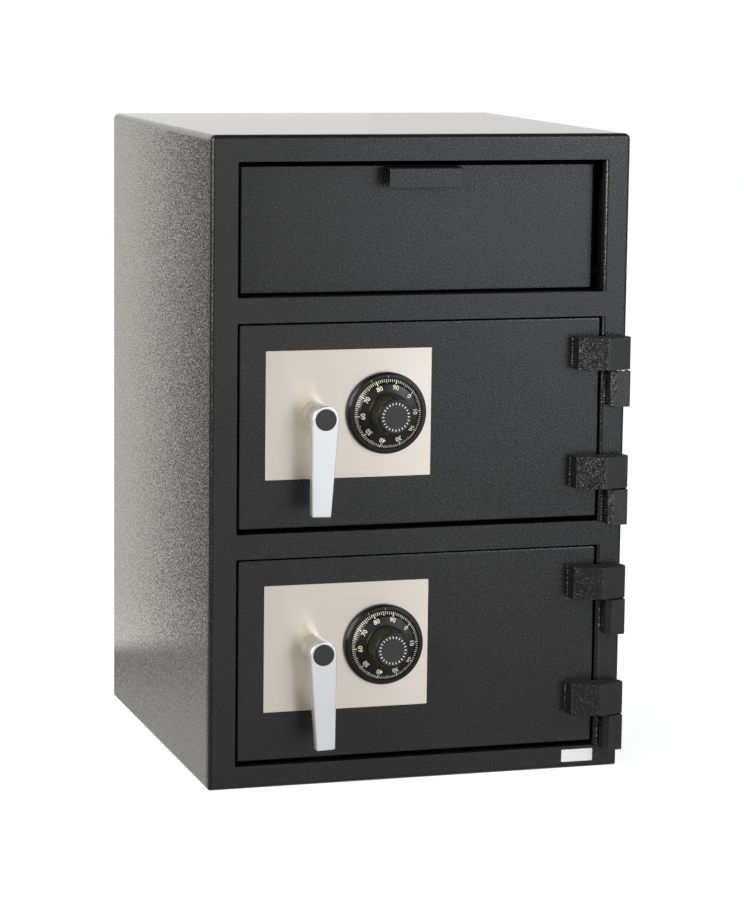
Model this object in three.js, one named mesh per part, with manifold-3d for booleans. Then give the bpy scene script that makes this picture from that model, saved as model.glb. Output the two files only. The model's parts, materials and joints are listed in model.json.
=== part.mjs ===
// Drop safe with a tilt-out deposit drawer over two locked compartments.
// Millimetres. X to the right seen from the front, Y to the back, Z up.
// The origin is the middle of the case's underside.
import * as THREE from 'three';
import { mergeVertices } from 'three/addons/utils/BufferGeometryUtils.js';
import Module from 'manifold-3d';

const wasm = await Module();
wasm.setup();

// Steel case
const caseWidth = 508;
const caseDepth = 508;
const caseHeight = 762;
const caseWall = 4.8;
const caseCornerRadius = 7;
const caseFootRadius = 2.6;
const weldGap = 0.3;

// Front frame and the bars between its three windows
const frameThickness = 12.7;
const frameEdgeRadius = 2.4;
const windowCornerRadius = 2;
const leftStile = 31.5;
const rightStile = 26;
const topRail = 30.3;
const drawerRail = 29;
const middleRail = 29;
const bottomRail = 27;
const drawerWindowHeight = 155.7;
const drawerJambInset = 1.5;

// Doors
const doorThickness = 12.7;
const doorRecess = 2;
const doorCornerRadius = 2.5;
const doorEdgeRadius = 1.2;
const latchSideGap = 3;
const hingeSideGap = 7.5;
const doorTopGap = 2;
const doorBottomGap = 6;

// Hinge blocks: the axis stands in front of the frame, near the case's right side
const hingeAxisInset = 11.5;
const hingeAxisProud = 12;
const barrelRadius = 10;
const hingeCornerRadius = 3;
const leafHeightShare = 0.162;
const leafOverlap = 33.5;
const leafStep = 1.5;
const leafEndProud = 19;
const leafRidgeReach = 21.5;
const leafRidgeProud = 30.5;
const leafTipProud = 21;
const knuckleHeightShare = 0.179;
const knuckleInnerReach = 13;
const knuckleOuterReach = 10.6;
const knuckleSlopeWidth = 5.5;
const knuckleSlopeDepth = 6;
const knuckleProud = 21;
const topHingeInset = 21.2;
const bottomHingeDrop = 8.4;
const collarThickness = 1.5;
const collarRadius = 8.5;
const runningGap = 0.3;
const hingePinRadius = 5.5;
const hingePinShare = 0.7;

// Key plate with the lever and the dial on it
const plateWidth = 200;
const plateThickness = 1.2;
const plateCornerRadius = 1;
const plateSideInset = 31.1;
const plateBottomInset = 57;
const plateTopInset = 30.5;

// Lever handle, its shaft and the crank on the shaft's inner end
const leverInset = 59.3;
const leverLength = 113;
const leverHeadRadius = 16;
const leverEndWidth = 22.8;
const leverThickness = 10;
const leverEdgeRadius = 1.2;
const leverEndCornerRadius = 1.6;
const leverProud = 45;
const hubRadius = 15;
const hubFootRadius = 16;
const hubFootHeight = 3;
const insertRadius = 12.4;
const insertThickness = 2;
const upperLeverLean = THREE.MathUtils.degToRad(2);
const lowerLeverLean = THREE.MathUtils.degToRad(-2);
const leverTurn = THREE.MathUtils.degToRad(80);
const shaftRadius = 6;
const shaftClearance = 0.6;
const shaftSocketDepth = 20;
const crankThickness = 6;
const crankStandOff = 3.3;
const crankEyeRadius = 11;
const crankEndRadius = 7.5;
const crankPinRadius = 4;
const crankPinClearance = 0.6;

// Combination dial and its lock
const dialInset = 55.1;
const ringRadius = 48;
const ringThickness = 8.5;
const ringFloor = 3;
const ringLipWidth = 4.5;
const ringSlope = 2.5;
const dialRadius = 41;
const dialRimHeight = 4;
const dialConeRadius = 34.6;
const dialConeHeight = 9;
const dialThickness = 10.6;
const dialGap = 0.5;
const knobFlangeRadius = 25;
const knobFlangeHeight = 1.4;
const knobBaseRadius = 23.2;
const knobTopRadius = 21.3;
const knobHeight = 26;
const knobEdge = 1.2;
const fluteCount = 27;
const fluteDepth = 0.9;
const capRadius = 18.5;
const capThickness = 1.5;
const spindleRadius = 4.5;
const lockWidth = 61;
const lockHeight = 83;
const lockDepth = 28;
const lockCornerRadius = 6;
const lockEdgeRadius = 1.5;
const lockBelowSpindle = 30;
const lockBoltWidth = 14;
const lockBoltThickness = 9;
const lockBoltLength = 20;
const lockBoltTravel = 9;
const lockBoreShare = 0.8;

// Bolt work behind each door
const boltRadius = 9.5;
const boltBehindFrame = 4.5;
const boltThrow = 22;
const boltCount = 3;
const boltEndInset = 40;
const boltTipChamfer = 2;
const boltTipInset = 3;
const boltHoleClearance = 0.4;
const guideInset = 11.5;
const guideThickness = 6;
const guideEndInset = 22;
const guideOverhang = 5;
const carriageInset = 41.5;
const carriageThickness = 4.8;
const carriageReach = 80;
const carriageEndInset = 28;
const carriageBendRadius = 3;
const carriageGap = 1.3;
const armHeight = 18;
const armBendRadius = 4;
const lugWidth = 5;
const lugGap = 1.5;
const studRadius = 5;
const studShoulderRadius = 8;
const studHeadRadius = 9;
const studHeadThickness = 3;
const studInset = 30;
const studEndInset = 48;
const armStudInset = 30;
const deadBarWidth = 38.5;
const deadBarEngagement = 5.5;
const deadBarThickness = 12;
const deadBarRelief = 2.3;
const deadBarEndInset = 25;

// Deposit drawer: a hopper that tilts out on two pins near its lower edge
const drawerRecess = 25;
const drawerSideGap = 9.25;
const drawerTopGap = 6.4;
const drawerBottomGap = 2.2;
const drawerPanelThickness = 6.35;
const drawerCornerRadius = 2;
const drawerEdgeRadius = 1.2;
const pullWidth = 88;
const pullHeight = 24;
const pullThickness = 2.2;
const pullBendRadius = 0.4;
const pivotInset = 8;
const pivotRise = 20;
const pivotRadius = 5;
const pivotCollarRadius = 8;
const hopperSideThickness = 3;
const hopperHubRadius = 12;
const hopperRadius = 130;
const hopperOpening = THREE.MathUtils.degToRad(55);
const trayThickness = 3;
const trayDrop = 8;
const traySlope = THREE.MathUtils.degToRad(15);
const trayRise = 34;
const trayBendRadius = 8;
const trayEndGap = 2;
const bracketThickness = 4;
const bracketSideMargin = 11.1;
const bracketTopMargin = 19.7;
const bracketCornerRadius = 30;
const bracketFoot = 14;
const stopRadius = 100;
const stopAngle = THREE.MathUtils.degToRad(62);
const stopPinRadius = 4;
const slotClearance = 0.5;
const liningThickness = 4;
const liningDepth = 30;
const liningFlange = 18;
const liningBendRadius = 2;

// Fixed baffle behind the hopper, with its saw teeth
const baffleThickness = 3;
const baffleClearance = 4.5;
const baffleLowAngle = THREE.MathUtils.degToRad(40);
const baffleTopReach = 10.3;
const toothCount = 22;
const toothHeight = 14;
const toothRoot = 12;
const toothThickness = 2.5;

// Divider and back plate
const dividerThickness = 4.8;
const backRecess = 3;

// How far cutters run past what they cut, and the facets
const cutOverrun = 2;
const roundSteps = 16;
const fineSteps = 32;
const cornerSteps = 2;
const arcSteps = 5;
const bendSteps = 3;
const edgeSteps = 2;
const frameEdgeSteps = 3;

// Places that follow from the sizes above
const front = -caseDepth / 2;
const back = caseDepth / 2;
const innerHalfWidth = caseWidth / 2 - caseWall;
const innerCornerRadius = Math.max(caseCornerRadius - caseWall, weldGap);
const innerFootRadius = Math.max(caseFootRadius - caseWall, weldGap);
const windowLeft = -caseWidth / 2 + leftStile;
const windowRight = caseWidth / 2 - rightStile;
const drawerWindowTop = caseHeight - topRail;
const drawerWindowBottom = drawerWindowTop - drawerWindowHeight;
const doorWindowHeight = (drawerWindowBottom - drawerRail - middleRail - bottomRail) / 2;
const lowerWindowBottom = bottomRail;
const upperWindowBottom = lowerWindowBottom + doorWindowHeight + middleRail;
const frameBack = front + frameThickness;
const doorHeight = doorWindowHeight - doorTopGap - doorBottomGap;
const doorLeft = windowLeft + latchSideGap;
const doorRight = windowRight - hingeSideGap;
const doorFront = front + doorRecess;
const doorBack = doorFront + doorThickness;
const plateFront = doorFront - plateThickness;
const plateLeft = doorLeft + plateSideInset;
const plateHeight = doorHeight - plateTopInset - plateBottomInset;
const leverX = plateLeft + leverInset;
const dialX = plateLeft + plateWidth - dialInset;
const workZ = plateBottomInset + plateHeight / 2;
const leafHeight = doorHeight * leafHeightShare;
const knuckleHeight = doorHeight * knuckleHeightShare;
const hingePinReach = leafHeight * hingePinShare;
const hingeX = caseWidth / 2 - hingeAxisInset;
const hingeY = front - hingeAxisProud;

// Welds the vertices, drops the empty triangles at poles and makes the faces point outward: a
// closed mesh has a positive volume then.
function outward(geometry) {
  const flat = geometry.index ? geometry.toNonIndexed() : geometry;
  const position = flat.attributes.position;
  const a = new THREE.Vector3();
  const b = new THREE.Vector3();
  const c = new THREE.Vector3();
  let volume = 0;
  for (let i = 0; i < position.count; i += 3) {
    a.fromBufferAttribute(position, i);
    b.fromBufferAttribute(position, i + 1);
    c.fromBufferAttribute(position, i + 2);
    volume += a.dot(b.cross(c));
  }
  const bare = new THREE.BufferGeometry();
  bare.setAttribute('position', position);
  const welded = mergeVertices(bare);
  const corners = [];
  for (let i = 0; i < welded.index.count; i += 3) {
    const [p, q, r] = welded.index.array.slice(i, i + 3);
    if (p !== q && q !== r && r !== p) {
      corners.push(p, q, r);
    }
  }
  welded.setIndex(volume < 0 ? corners.reverse() : corners);
  return welded;
}

function toSolid(geometry) {
  const closed = outward(geometry);
  return new wasm.Manifold(new wasm.Mesh({
    numProp: 3,
    vertProperties: new Float32Array(closed.attributes.position.array),
    triVerts: new Uint32Array(closed.index.array),
  }));
}

function fromSolid(solid) {
  const mesh = solid.getMesh();
  const geometry = new THREE.BufferGeometry();
  geometry.setAttribute('position', new THREE.BufferAttribute(mesh.vertProperties, 3));
  geometry.setIndex(new THREE.BufferAttribute(mesh.triVerts, 1));
  return geometry;
}

// Joins the first shape with the added ones, then takes the cutters away.
function shaped(base, added, cutters) {
  let solid = toSolid(base);
  for (const geometry of added) {
    solid = solid.add(toSolid(geometry));
  }
  for (const geometry of cutters) {
    solid = solid.subtract(toSolid(geometry));
  }
  return fromSolid(solid);
}

// A round stretch of an outline gets two facets for each curve step.
function extruded(shape, length, edge, steps, curve) {
  const settings = { depth: length, curveSegments: curve, bevelEnabled: false };
  if (edge > 0) {
    settings.depth = length - 2 * edge;
    settings.bevelEnabled = true;
    settings.bevelSize = edge;
    settings.bevelThickness = edge;
    settings.bevelOffset = -edge;
    settings.bevelSegments = steps;
  }
  const geometry = new THREE.ExtrudeGeometry(shape, settings);
  geometry.translate(0, 0, edge);
  return geometry;
}

// The outline lies in X and Z and the solid runs from near to far along Y.
function alongY(shape, near, far, edge = 0, steps = edgeSteps, curve = cornerSteps) {
  const geometry = extruded(shape, far - near, edge, steps, curve);
  geometry.rotateX(Math.PI / 2);
  geometry.translate(0, far, 0);
  return geometry;
}

// The outline lies in Y and Z and the solid runs from left to right along X.
function alongX(shape, left, right, curve = cornerSteps) {
  const geometry = extruded(shape, right - left, 0, 0, curve);
  geometry.rotateX(Math.PI / 2);
  geometry.rotateZ(Math.PI / 2);
  geometry.translate(left, 0, 0);
  return geometry;
}

// The outline lies in X and Y and the solid runs from low to high along Z.
function alongZ(shape, low, high, curve = cornerSteps) {
  const geometry = extruded(shape, high - low, 0, 0, curve);
  geometry.translate(0, 0, low);
  return geometry;
}

function box(x0, x1, y0, y1, z0, z1) {
  const geometry = new THREE.BoxGeometry(x1 - x0, y1 - y0, z1 - z0);
  geometry.translate((x0 + x1) / 2, (y0 + y1) / 2, (z0 + z1) / 2);
  return geometry;
}

// Round bar along Y, Z or X, from one end to the other.
function barY(radius, x, z, near, far, steps = roundSteps) {
  const geometry = new THREE.CylinderGeometry(radius, radius, far - near, steps);
  geometry.translate(x, (near + far) / 2, z);
  return geometry;
}

function barZ(radius, x, y, low, high, steps = roundSteps) {
  const geometry = new THREE.CylinderGeometry(radius, radius, high - low, steps);
  geometry.rotateX(Math.PI / 2);
  geometry.translate(x, y, (low + high) / 2);
  return geometry;
}

function barX(radius, y, z, left, right, steps = roundSteps) {
  const geometry = new THREE.CylinderGeometry(radius, radius, right - left, steps);
  geometry.rotateZ(Math.PI / 2);
  geometry.translate((left + right) / 2, y, z);
  return geometry;
}

// The same round bar along X, with its ends given in either order.
function pinX(radius, y, z, start, end) {
  return barX(radius, y, z, Math.min(start, end), Math.max(start, end));
}

// A rectangle with rounded corners. The two low ones can have a radius of their own.
function roundedPath(path, left, right, low, high, radius, lowRadius = radius) {
  path.moveTo(left + lowRadius, low);
  path.lineTo(right - lowRadius, low);
  path.absarc(right - lowRadius, low + lowRadius, lowRadius, -Math.PI / 2, 0, false);
  path.lineTo(right, high - radius);
  path.absarc(right - radius, high - radius, radius, 0, Math.PI / 2, false);
  path.lineTo(left + radius, high);
  path.absarc(left + radius, high - radius, radius, Math.PI / 2, Math.PI, false);
  path.lineTo(left, low + lowRadius);
  path.absarc(left + lowRadius, low + lowRadius, lowRadius, Math.PI, Math.PI * 3 / 2, false);
  return path;
}

function roundedShape(left, right, low, high, radius, lowRadius = radius) {
  return roundedPath(new THREE.Shape(), left, right, low, high, radius, lowRadius);
}

function roundedHole(left, right, low, high, radius, lowRadius = radius) {
  return roundedPath(new THREE.Path(), left, right, low, high, radius, lowRadius);
}

// Slot with round ends between two points at one height.
function slotShape(x0, x1, z, halfWidth) {
  const shape = new THREE.Shape();
  shape.absarc(x1, z, halfWidth, -Math.PI / 2, Math.PI / 2, false);
  shape.absarc(x0, z, halfWidth, Math.PI / 2, Math.PI * 3 / 2, false);
  return shape;
}

// Section of a bent sheet: a strip of even thickness along a line with rounded corners.
function bentStrip(points, thickness, innerRadius) {
  const leftSide = [];
  const rightSide = [];
  const half = thickness / 2;
  const place = (point, direction) => {
    const normal = new THREE.Vector2(-direction.y, direction.x);
    leftSide.push(point.clone().addScaledVector(normal, half));
    rightSide.push(point.clone().addScaledVector(normal, -half));
  };
  const corners = points.map(([y, z]) => new THREE.Vector2(y, z));
  const directions = [];
  for (let i = 0; i + 1 < corners.length; i += 1) {
    directions.push(corners[i + 1].clone().sub(corners[i]).normalize());
  }
  place(corners[0], directions[0]);
  for (let i = 1; i + 1 < corners.length; i += 1) {
    const before = directions[i - 1];
    const after = directions[i];
    const turn = Math.atan2(before.cross(after), before.dot(after));
    const radius = innerRadius + half;
    const setBack = radius * Math.tan(Math.abs(turn) / 2);
    const side = Math.sign(turn);
    const start = corners[i].clone().addScaledVector(before, -setBack);
    const inward = new THREE.Vector2(-before.y, before.x).multiplyScalar(side * radius);
    const centre = start.clone().add(inward);
    for (let step = 0; step <= bendSteps; step += 1) {
      const angle = turn * step / bendSteps;
      const point = start.clone().rotateAround(centre, angle);
      place(point, before.clone().rotateAround(new THREE.Vector2(), angle));
    }
  }
  place(corners[corners.length - 1], directions[directions.length - 1]);
  return new THREE.Shape([...leftSide, ...rightSide.reverse()]);
}

const paint = { color: 0x1c1c1e, roughness: 0.5, metalness: 0.1 };
const zincSteel = { color: 0x9b9da0, roughness: 0.4, metalness: 0.9 };
const brushedSteel = { color: 0xd7cfc6, roughness: 0.35, metalness: 0.9 };
const satinChrome = { color: 0xe1e6e8, roughness: 0.3, metalness: 0.6 };
const dialBlack = { color: 0x141414, roughness: 0.35, metalness: 0 };
const plasticBlack = { color: 0x29292b, roughness: 0.5, metalness: 0 };
const lockZinc = { color: 0xa8a49a, roughness: 0.5, metalness: 0.7 };

function piece(parent, name, geometry, finish) {
  const mesh = new THREE.Mesh(outward(geometry), new THREE.MeshStandardMaterial(finish));
  mesh.name = name;
  parent.add(mesh);
  return mesh;
}

function caseOutline() {
  const halfWidth = caseWidth / 2;
  return roundedShape(-halfWidth, halfWidth, 0, caseHeight, caseCornerRadius, caseFootRadius);
}

// Case wrap: one bent sheet that is left side, roof, right side and floor.
function caseWrap() {
  const shape = caseOutline();
  const inside = roundedHole(
    -innerHalfWidth, innerHalfWidth, caseWall, caseHeight - caseWall, innerCornerRadius,
    innerFootRadius,
  );
  shape.holes.push(inside);
  return alongY(shape, frameBack, back);
}

function backPlate() {
  const halfWidth = innerHalfWidth - weldGap;
  const low = caseWall + weldGap;
  const high = caseHeight - caseWall - weldGap;
  const shape = roundedShape(-halfWidth, halfWidth, low, high, innerCornerRadius);
  return alongY(shape, back - backRecess - caseWall, back - backRecess);
}

// Front frame: a thick plate, its outer front edge rounded, with three sharp-edged windows.
function frontFrame() {
  const radius = windowCornerRadius;
  const windows = [roundedShape(
    windowLeft, windowRight - drawerJambInset, drawerWindowBottom, drawerWindowTop, radius,
  )];
  for (const low of [lowerWindowBottom, upperWindowBottom]) {
    windows.push(roundedShape(windowLeft, windowRight, low, low + doorWindowHeight, radius));
  }
  const overlong = frameBack + frameEdgeRadius + cutOverrun;
  const plate = alongY(caseOutline(), front, overlong, frameEdgeRadius, frameEdgeSteps);
  const behind = box(
    -caseWidth, caseWidth, frameBack, overlong + cutOverrun, -cutOverrun, caseHeight + cutOverrun,
  );
  const near = front - cutOverrun;
  const cuts = windows.map((shape) => alongY(shape, near, overlong));
  return shaped(plate, [], [behind, ...cuts]);
}

function dividerShelf() {
  const middle = (lowerWindowBottom + doorWindowHeight + upperWindowBottom) / 2;
  const halfWidth = innerHalfWidth - weldGap;
  return box(
    -halfWidth, halfWidth,
    frameBack + weldGap, back - backRecess - caseWall - weldGap,
    middle - dividerThickness / 2, middle + dividerThickness / 2,
  );
}

const carcass = new THREE.Group();
piece(carcass, 'case_wrap', caseWrap(), paint);
piece(carcass, 'back_plate', backPlate(), paint);
piece(carcass, 'front_frame', frontFrame(), paint);
piece(carcass, 'divider_shelf', dividerShelf(), paint);

// Deposit drawer. Its own coordinates are counted from the pivot line.
const drawerLeft = windowLeft + drawerSideGap;
const drawerRight = windowRight - drawerJambInset - drawerSideGap;
const pivotY = front + drawerRecess + pivotInset;
const pivotZ = drawerWindowBottom + drawerBottomGap + pivotRise;
const panelFront = -pivotInset;
const panelBack = panelFront + drawerPanelThickness;
const panelTop = drawerWindowTop - drawerTopGap - pivotZ;
const panelBottom = -pivotRise;
const trayLength = hopperRadius - trayEndGap;

function drawerPanel() {
  const shape = roundedShape(drawerLeft, drawerRight, panelBottom, panelTop, drawerCornerRadius);
  return alongY(shape, panelFront, panelBack, drawerEdgeRadius);
}

// The pull is a bent strip: a flange off the panel's top edge and a lip that hangs from it.
function drawerPull() {
  const centre = (drawerLeft + drawerRight) / 2;
  const flangeZ = panelTop - drawerEdgeRadius - pullThickness / 2;
  const lipY = panelFront - drawerRecess + pullThickness / 2;
  const lipLow = flangeZ + pullThickness / 2 - pullHeight;
  const strip = bentStrip(
    [[panelFront, flangeZ], [lipY, flangeZ], [lipY, lipLow]], pullThickness, pullBendRadius,
  );
  return alongX(strip, centre - pullWidth / 2, centre + pullWidth / 2);
}

// A side plate is a sector about the pivot with a curved slot that the fixed stop pin runs in. Its
// pivot pin is welded on outside and turns in the bracket.
function hopperSide(side) {
  const left = side < 0 ? drawerLeft - hopperSideThickness : drawerRight;
  const sector = new THREE.Shape();
  const low = -traySlope;
  const sideFront = panelFront + drawerPanelThickness / 2;
  const topAngle = Math.acos(sideFront / hopperRadius);
  sector.moveTo(sideFront, -hopperHubRadius);
  sector.lineTo(0, -hopperHubRadius - trayThickness);
  sector.lineTo(
    hopperRadius * Math.cos(low) - (trayDrop + trayThickness) * Math.sin(traySlope),
    hopperRadius * Math.sin(low) - (trayDrop + trayThickness) * Math.cos(traySlope),
  );
  sector.absarc(0, 0, hopperRadius, low, topAngle, false);
  const half = stopPinRadius + slotClearance;
  const slot = new THREE.Path();
  const start = stopAngle - hopperOpening;
  slot.absarc(0, 0, stopRadius + half, start, stopAngle, false);
  slot.absarc(
    stopRadius * Math.cos(stopAngle), stopRadius * Math.sin(stopAngle),
    half, stopAngle, stopAngle + Math.PI, false,
  );
  slot.absarc(0, 0, stopRadius - half, stopAngle, start, true);
  slot.absarc(
    stopRadius * Math.cos(start), stopRadius * Math.sin(start),
    half, start + Math.PI, start + Math.PI * 2, false,
  );
  sector.holes.push(slot);
  const plate = alongX(sector, left, left + hopperSideThickness, arcSteps);
  const reach = drawerSideGap + bracketThickness + runningGap;
  const inside = side < 0 ? drawerLeft : drawerRight;
  const middle = inside + side * hopperSideThickness / 2;
  return shaped(plate, [
    pinX(pivotRadius, 0, 0, middle, inside + side * reach),
    pinX(pivotCollarRadius, 0, 0, middle, inside + side * (drawerSideGap - runningGap)),
  ], []);
}

// Tray: up the panel's back, round a bend and down to the rear, so that a drop slides off it.
function hopperTray() {
  const wallY = panelBack + trayThickness / 2;
  const depth = trayDrop + trayThickness / 2;
  const slopeX = Math.cos(traySlope);
  const slopeZ = -Math.sin(traySlope);
  const along = (wallY + depth * Math.sin(traySlope)) / slopeX;
  const bendZ = -depth * Math.cos(traySlope) + along * slopeZ;
  const endY = -depth * Math.sin(traySlope) + trayLength * slopeX;
  const endZ = -depth * Math.cos(traySlope) + trayLength * slopeZ;
  const strip = bentStrip(
    [[wallY, bendZ + trayRise], [wallY, bendZ], [endY, endZ]], trayThickness, trayBendRadius,
  );
  return alongX(strip, drawerLeft + weldGap, drawerRight - weldGap);
}

const drawer = new THREE.Group();
drawer.position.set(0, pivotY, pivotZ);
piece(drawer, 'drawer_front', drawerPanel(), paint);
piece(drawer, 'drawer_pull', drawerPull(), paint);
piece(drawer, 'hopper_side_left', hopperSide(-1), paint);
piece(drawer, 'hopper_side_right', hopperSide(1), paint);
piece(drawer, 'hopper_tray', hopperTray(), paint);

// What holds and guards the hopper is fixed to the case, in the same coordinates.
const bracketFront = frameBack - pivotY;

// A bracket plate behind the frame's stile, with the bore for the pivot and the fixed stop pin.
function hopperBracket(side) {
  const inside = side < 0 ? windowLeft : windowRight - drawerJambInset;
  const left = Math.min(inside, inside + side * bracketThickness);
  const right = left + bracketThickness;
  const stopY = stopRadius * Math.cos(stopAngle);
  const stopZ = stopRadius * Math.sin(stopAngle);
  const radius = bracketCornerRadius;
  const reach = stopY + bracketSideMargin;
  const low = drawerWindowBottom - pivotZ - bracketFoot;
  const high = stopZ + bracketTopMargin;
  const shape = new THREE.Shape();
  shape.moveTo(bracketFront, low);
  shape.lineTo(reach - radius, low);
  shape.absarc(reach - radius, low + radius, radius, -Math.PI / 2, 0, false);
  shape.lineTo(reach, high - radius);
  shape.absarc(reach - radius, high - radius, radius, 0, Math.PI / 2, false);
  shape.lineTo(bracketFront, high);
  const plate = alongX(shape, left, right, arcSteps);
  const middle = inside + side * bracketThickness / 2;
  const stopPin = pinX(
    stopPinRadius, stopY, stopZ, middle, inside - side * (drawerSideGap - runningGap),
  );
  const bore = barX(pivotRadius + runningGap, 0, 0, left - cutOverrun, right + cutOverrun);
  return shaped(plate, [stopPin], [bore]);
}

// Linings close the drawer window's top and bottom behind the frame. Each is an angle.
function lining(z, side) {
  const nearY = bracketFront;
  const middleZ = z + side * liningThickness / 2;
  const flangeY = nearY + liningThickness / 2;
  const strip = bentStrip(
    [
      [nearY + liningDepth, middleZ],
      [flangeY, middleZ],
      [flangeY, middleZ + side * liningFlange],
    ],
    liningThickness, liningBendRadius,
  );
  return alongX(strip, windowLeft + weldGap, windowRight - drawerJambInset - weldGap);
}

const baffleInnerRadius = hopperRadius + baffleClearance;
const baffleOuterRadius = baffleInnerRadius + baffleThickness;

// Baffle: a flange down from the roof, then an arc about the pivot that the hopper sweeps past.
function depositBaffle() {
  const roof = caseHeight - caseWall - innerCornerRadius - pivotZ;
  const nearY = baffleTopReach;
  const farY = baffleTopReach + baffleThickness;
  const innerAngle = Math.acos(nearY / baffleInnerRadius);
  const outerAngle = Math.acos(farY / baffleOuterRadius);
  const shape = new THREE.Shape();
  shape.moveTo(nearY, roof);
  shape.absarc(0, 0, baffleInnerRadius, innerAngle, baffleLowAngle, true);
  shape.absarc(0, 0, baffleOuterRadius, baffleLowAngle, outerAngle, false);
  shape.lineTo(farY, roof);
  const halfWidth = innerHalfWidth - weldGap;
  return alongX(shape, -halfWidth, halfWidth, arcSteps);
}

// Saw teeth hang from the baffle's lower edge, on its outer face.
function baffleTeeth() {
  const halfWidth = innerHalfWidth - weldGap;
  const pitch = 2 * halfWidth / toothCount;
  const shape = new THREE.Shape();
  shape.moveTo(-halfWidth, toothRoot);
  for (let i = 0; i < toothCount; i += 1) {
    const left = -halfWidth + i * pitch;
    shape.lineTo(left, 0);
    shape.lineTo(left + pitch / 2, -toothHeight);
  }
  shape.lineTo(halfWidth, 0);
  shape.lineTo(halfWidth, toothRoot);
  const geometry = alongY(shape, 0, toothThickness);
  const radius = baffleOuterRadius + weldGap;
  geometry.rotateX(baffleLowAngle);
  geometry.translate(0, radius * Math.cos(baffleLowAngle), radius * Math.sin(baffleLowAngle));
  return geometry;
}

const hopperFixings = new THREE.Group();
hopperFixings.position.copy(drawer.position);
piece(hopperFixings, 'hopper_bracket_left', hopperBracket(-1), paint);
piece(hopperFixings, 'hopper_bracket_right', hopperBracket(1), paint);
piece(hopperFixings, 'drawer_lintel', lining(drawerWindowTop - pivotZ, 1), paint);
piece(hopperFixings, 'drawer_sill', lining(drawerWindowBottom - pivotZ, -1), paint);
piece(hopperFixings, 'deposit_baffle', depositBaffle(), paint);
piece(hopperFixings, 'baffle_teeth', baffleTeeth(), paint);

// Hinges. Their sections are counted from the hinge axis, with Y to the back.
const leafSeatY = hingeAxisProud + doorRecess;

// Leaf block on the door: a seat on the door's face, a ridge in front, a round barrel at the back.
function hingeLeaf(low) {
  const outer = hingeX - doorRight + leafOverlap;
  const step = hingeX - doorRight + leafStep;
  const radius = hingeCornerRadius;
  const endY = hingeAxisProud - leafEndProud;
  const ridgeY = hingeAxisProud - leafRidgeProud;
  const tipY = hingeAxisProud - leafTipProud;
  const shape = new THREE.Shape();
  shape.moveTo(-outer, leafSeatY);
  shape.lineTo(-outer, endY + radius);
  shape.quadraticCurveTo(-outer, endY, -outer + radius, endY);
  shape.lineTo(-leafRidgeReach - radius, ridgeY + radius / 2);
  shape.quadraticCurveTo(-leafRidgeReach, ridgeY, -leafRidgeReach + radius, ridgeY + radius / 2);
  shape.lineTo(barrelRadius - radius, tipY);
  shape.quadraticCurveTo(barrelRadius, tipY, barrelRadius, tipY + radius);
  shape.lineTo(barrelRadius, 0);
  shape.absarc(0, 0, barrelRadius, 0, Math.PI / 2, false);
  shape.lineTo(-step, barrelRadius);
  shape.lineTo(-step, leafSeatY);
  const block = alongZ(shape, low, low + leafHeight);
  const bore = hingePinRadius + runningGap;
  return shaped(block, [], [barZ(bore, 0, 0, low - cutOverrun, low + hingePinReach + runningGap)]);
}

// Knuckle block on the frame: its inner front edge is cut to a slope and its outer one is rounded.
function hingeKnuckle(low) {
  const radius = hingeCornerRadius;
  const frontY = hingeAxisProud - knuckleProud;
  const shape = new THREE.Shape();
  shape.moveTo(-knuckleInnerReach, hingeAxisProud);
  shape.lineTo(-knuckleInnerReach, frontY + knuckleSlopeDepth);
  shape.lineTo(-knuckleInnerReach + knuckleSlopeWidth, frontY);
  shape.lineTo(knuckleOuterReach - radius, frontY);
  shape.quadraticCurveTo(knuckleOuterReach, frontY, knuckleOuterReach, frontY + radius);
  shape.lineTo(knuckleOuterReach, hingeAxisProud);
  const high = low + knuckleHeight;
  const block = alongZ(shape, low, high);
  const bore = hingePinRadius + runningGap;
  return shaped(block, [], [barZ(bore, 0, 0, high - hingePinReach - runningGap, high + cutOverrun)]);
}

// A pin stands in its knuckle. The collar round its middle carries the leaf.
function hingePin(low) {
  const collarLow = low + knuckleHeight + runningGap;
  const pin = barZ(
    hingePinRadius, 0, 0, low + knuckleHeight - hingePinReach, low + leafRise + hingePinReach,
  );
  return shaped(pin, [barZ(collarRadius, 0, 0, collarLow, collarLow + collarThickness)], []);
}

const leafRise = knuckleHeight + runningGap + collarThickness + runningGap;
const hingeRises = {
  top: doorHeight - topHingeInset - leafHeight - leafRise,
  bottom: -bottomHingeDrop,
};

const doorLows = {
  upper: upperWindowBottom + doorBottomGap,
  lower: lowerWindowBottom + doorBottomGap,
};
const hingeFixings = new THREE.Group();
hingeFixings.position.set(hingeX, hingeY, 0);
for (const [doorName, doorLow] of Object.entries(doorLows)) {
  for (const [place, rise] of Object.entries(hingeRises)) {
    piece(hingeFixings, `${doorName}_${place}_knuckle`, hingeKnuckle(doorLow + rise), paint);
    piece(hingeFixings, `${doorName}_${place}_hinge_pin`, hingePin(doorLow + rise), zincSteel);
  }
}

// Door slab with the holes for the lever's shaft and the dial's spindle. Three studs are welded to
// its back: a shoulder, a neck for the carriage's slot and a head that keeps the carriage on.
function doorSlab() {
  const shape = roundedShape(doorLeft, doorRight, 0, doorHeight, doorCornerRadius);
  const slab = alongY(shape, doorFront, doorBack, doorEdgeRadius);
  const studs = [];
  const root = (doorFront + doorBack) / 2;
  const headFront = carriageBack + runningGap;
  const headBack = headFront + studHeadThickness;
  for (const [x, z] of studPlaces()) {
    studs.push(barY(studShoulderRadius, x, z, root, carriageFront - runningGap));
    studs.push(barY(studRadius, x, z, root, headBack));
    studs.push(barY(studHeadRadius, x, z, headFront, headBack));
  }
  return shaped(slab, studs, shaftHoles(doorFront, doorBack));
}

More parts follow.
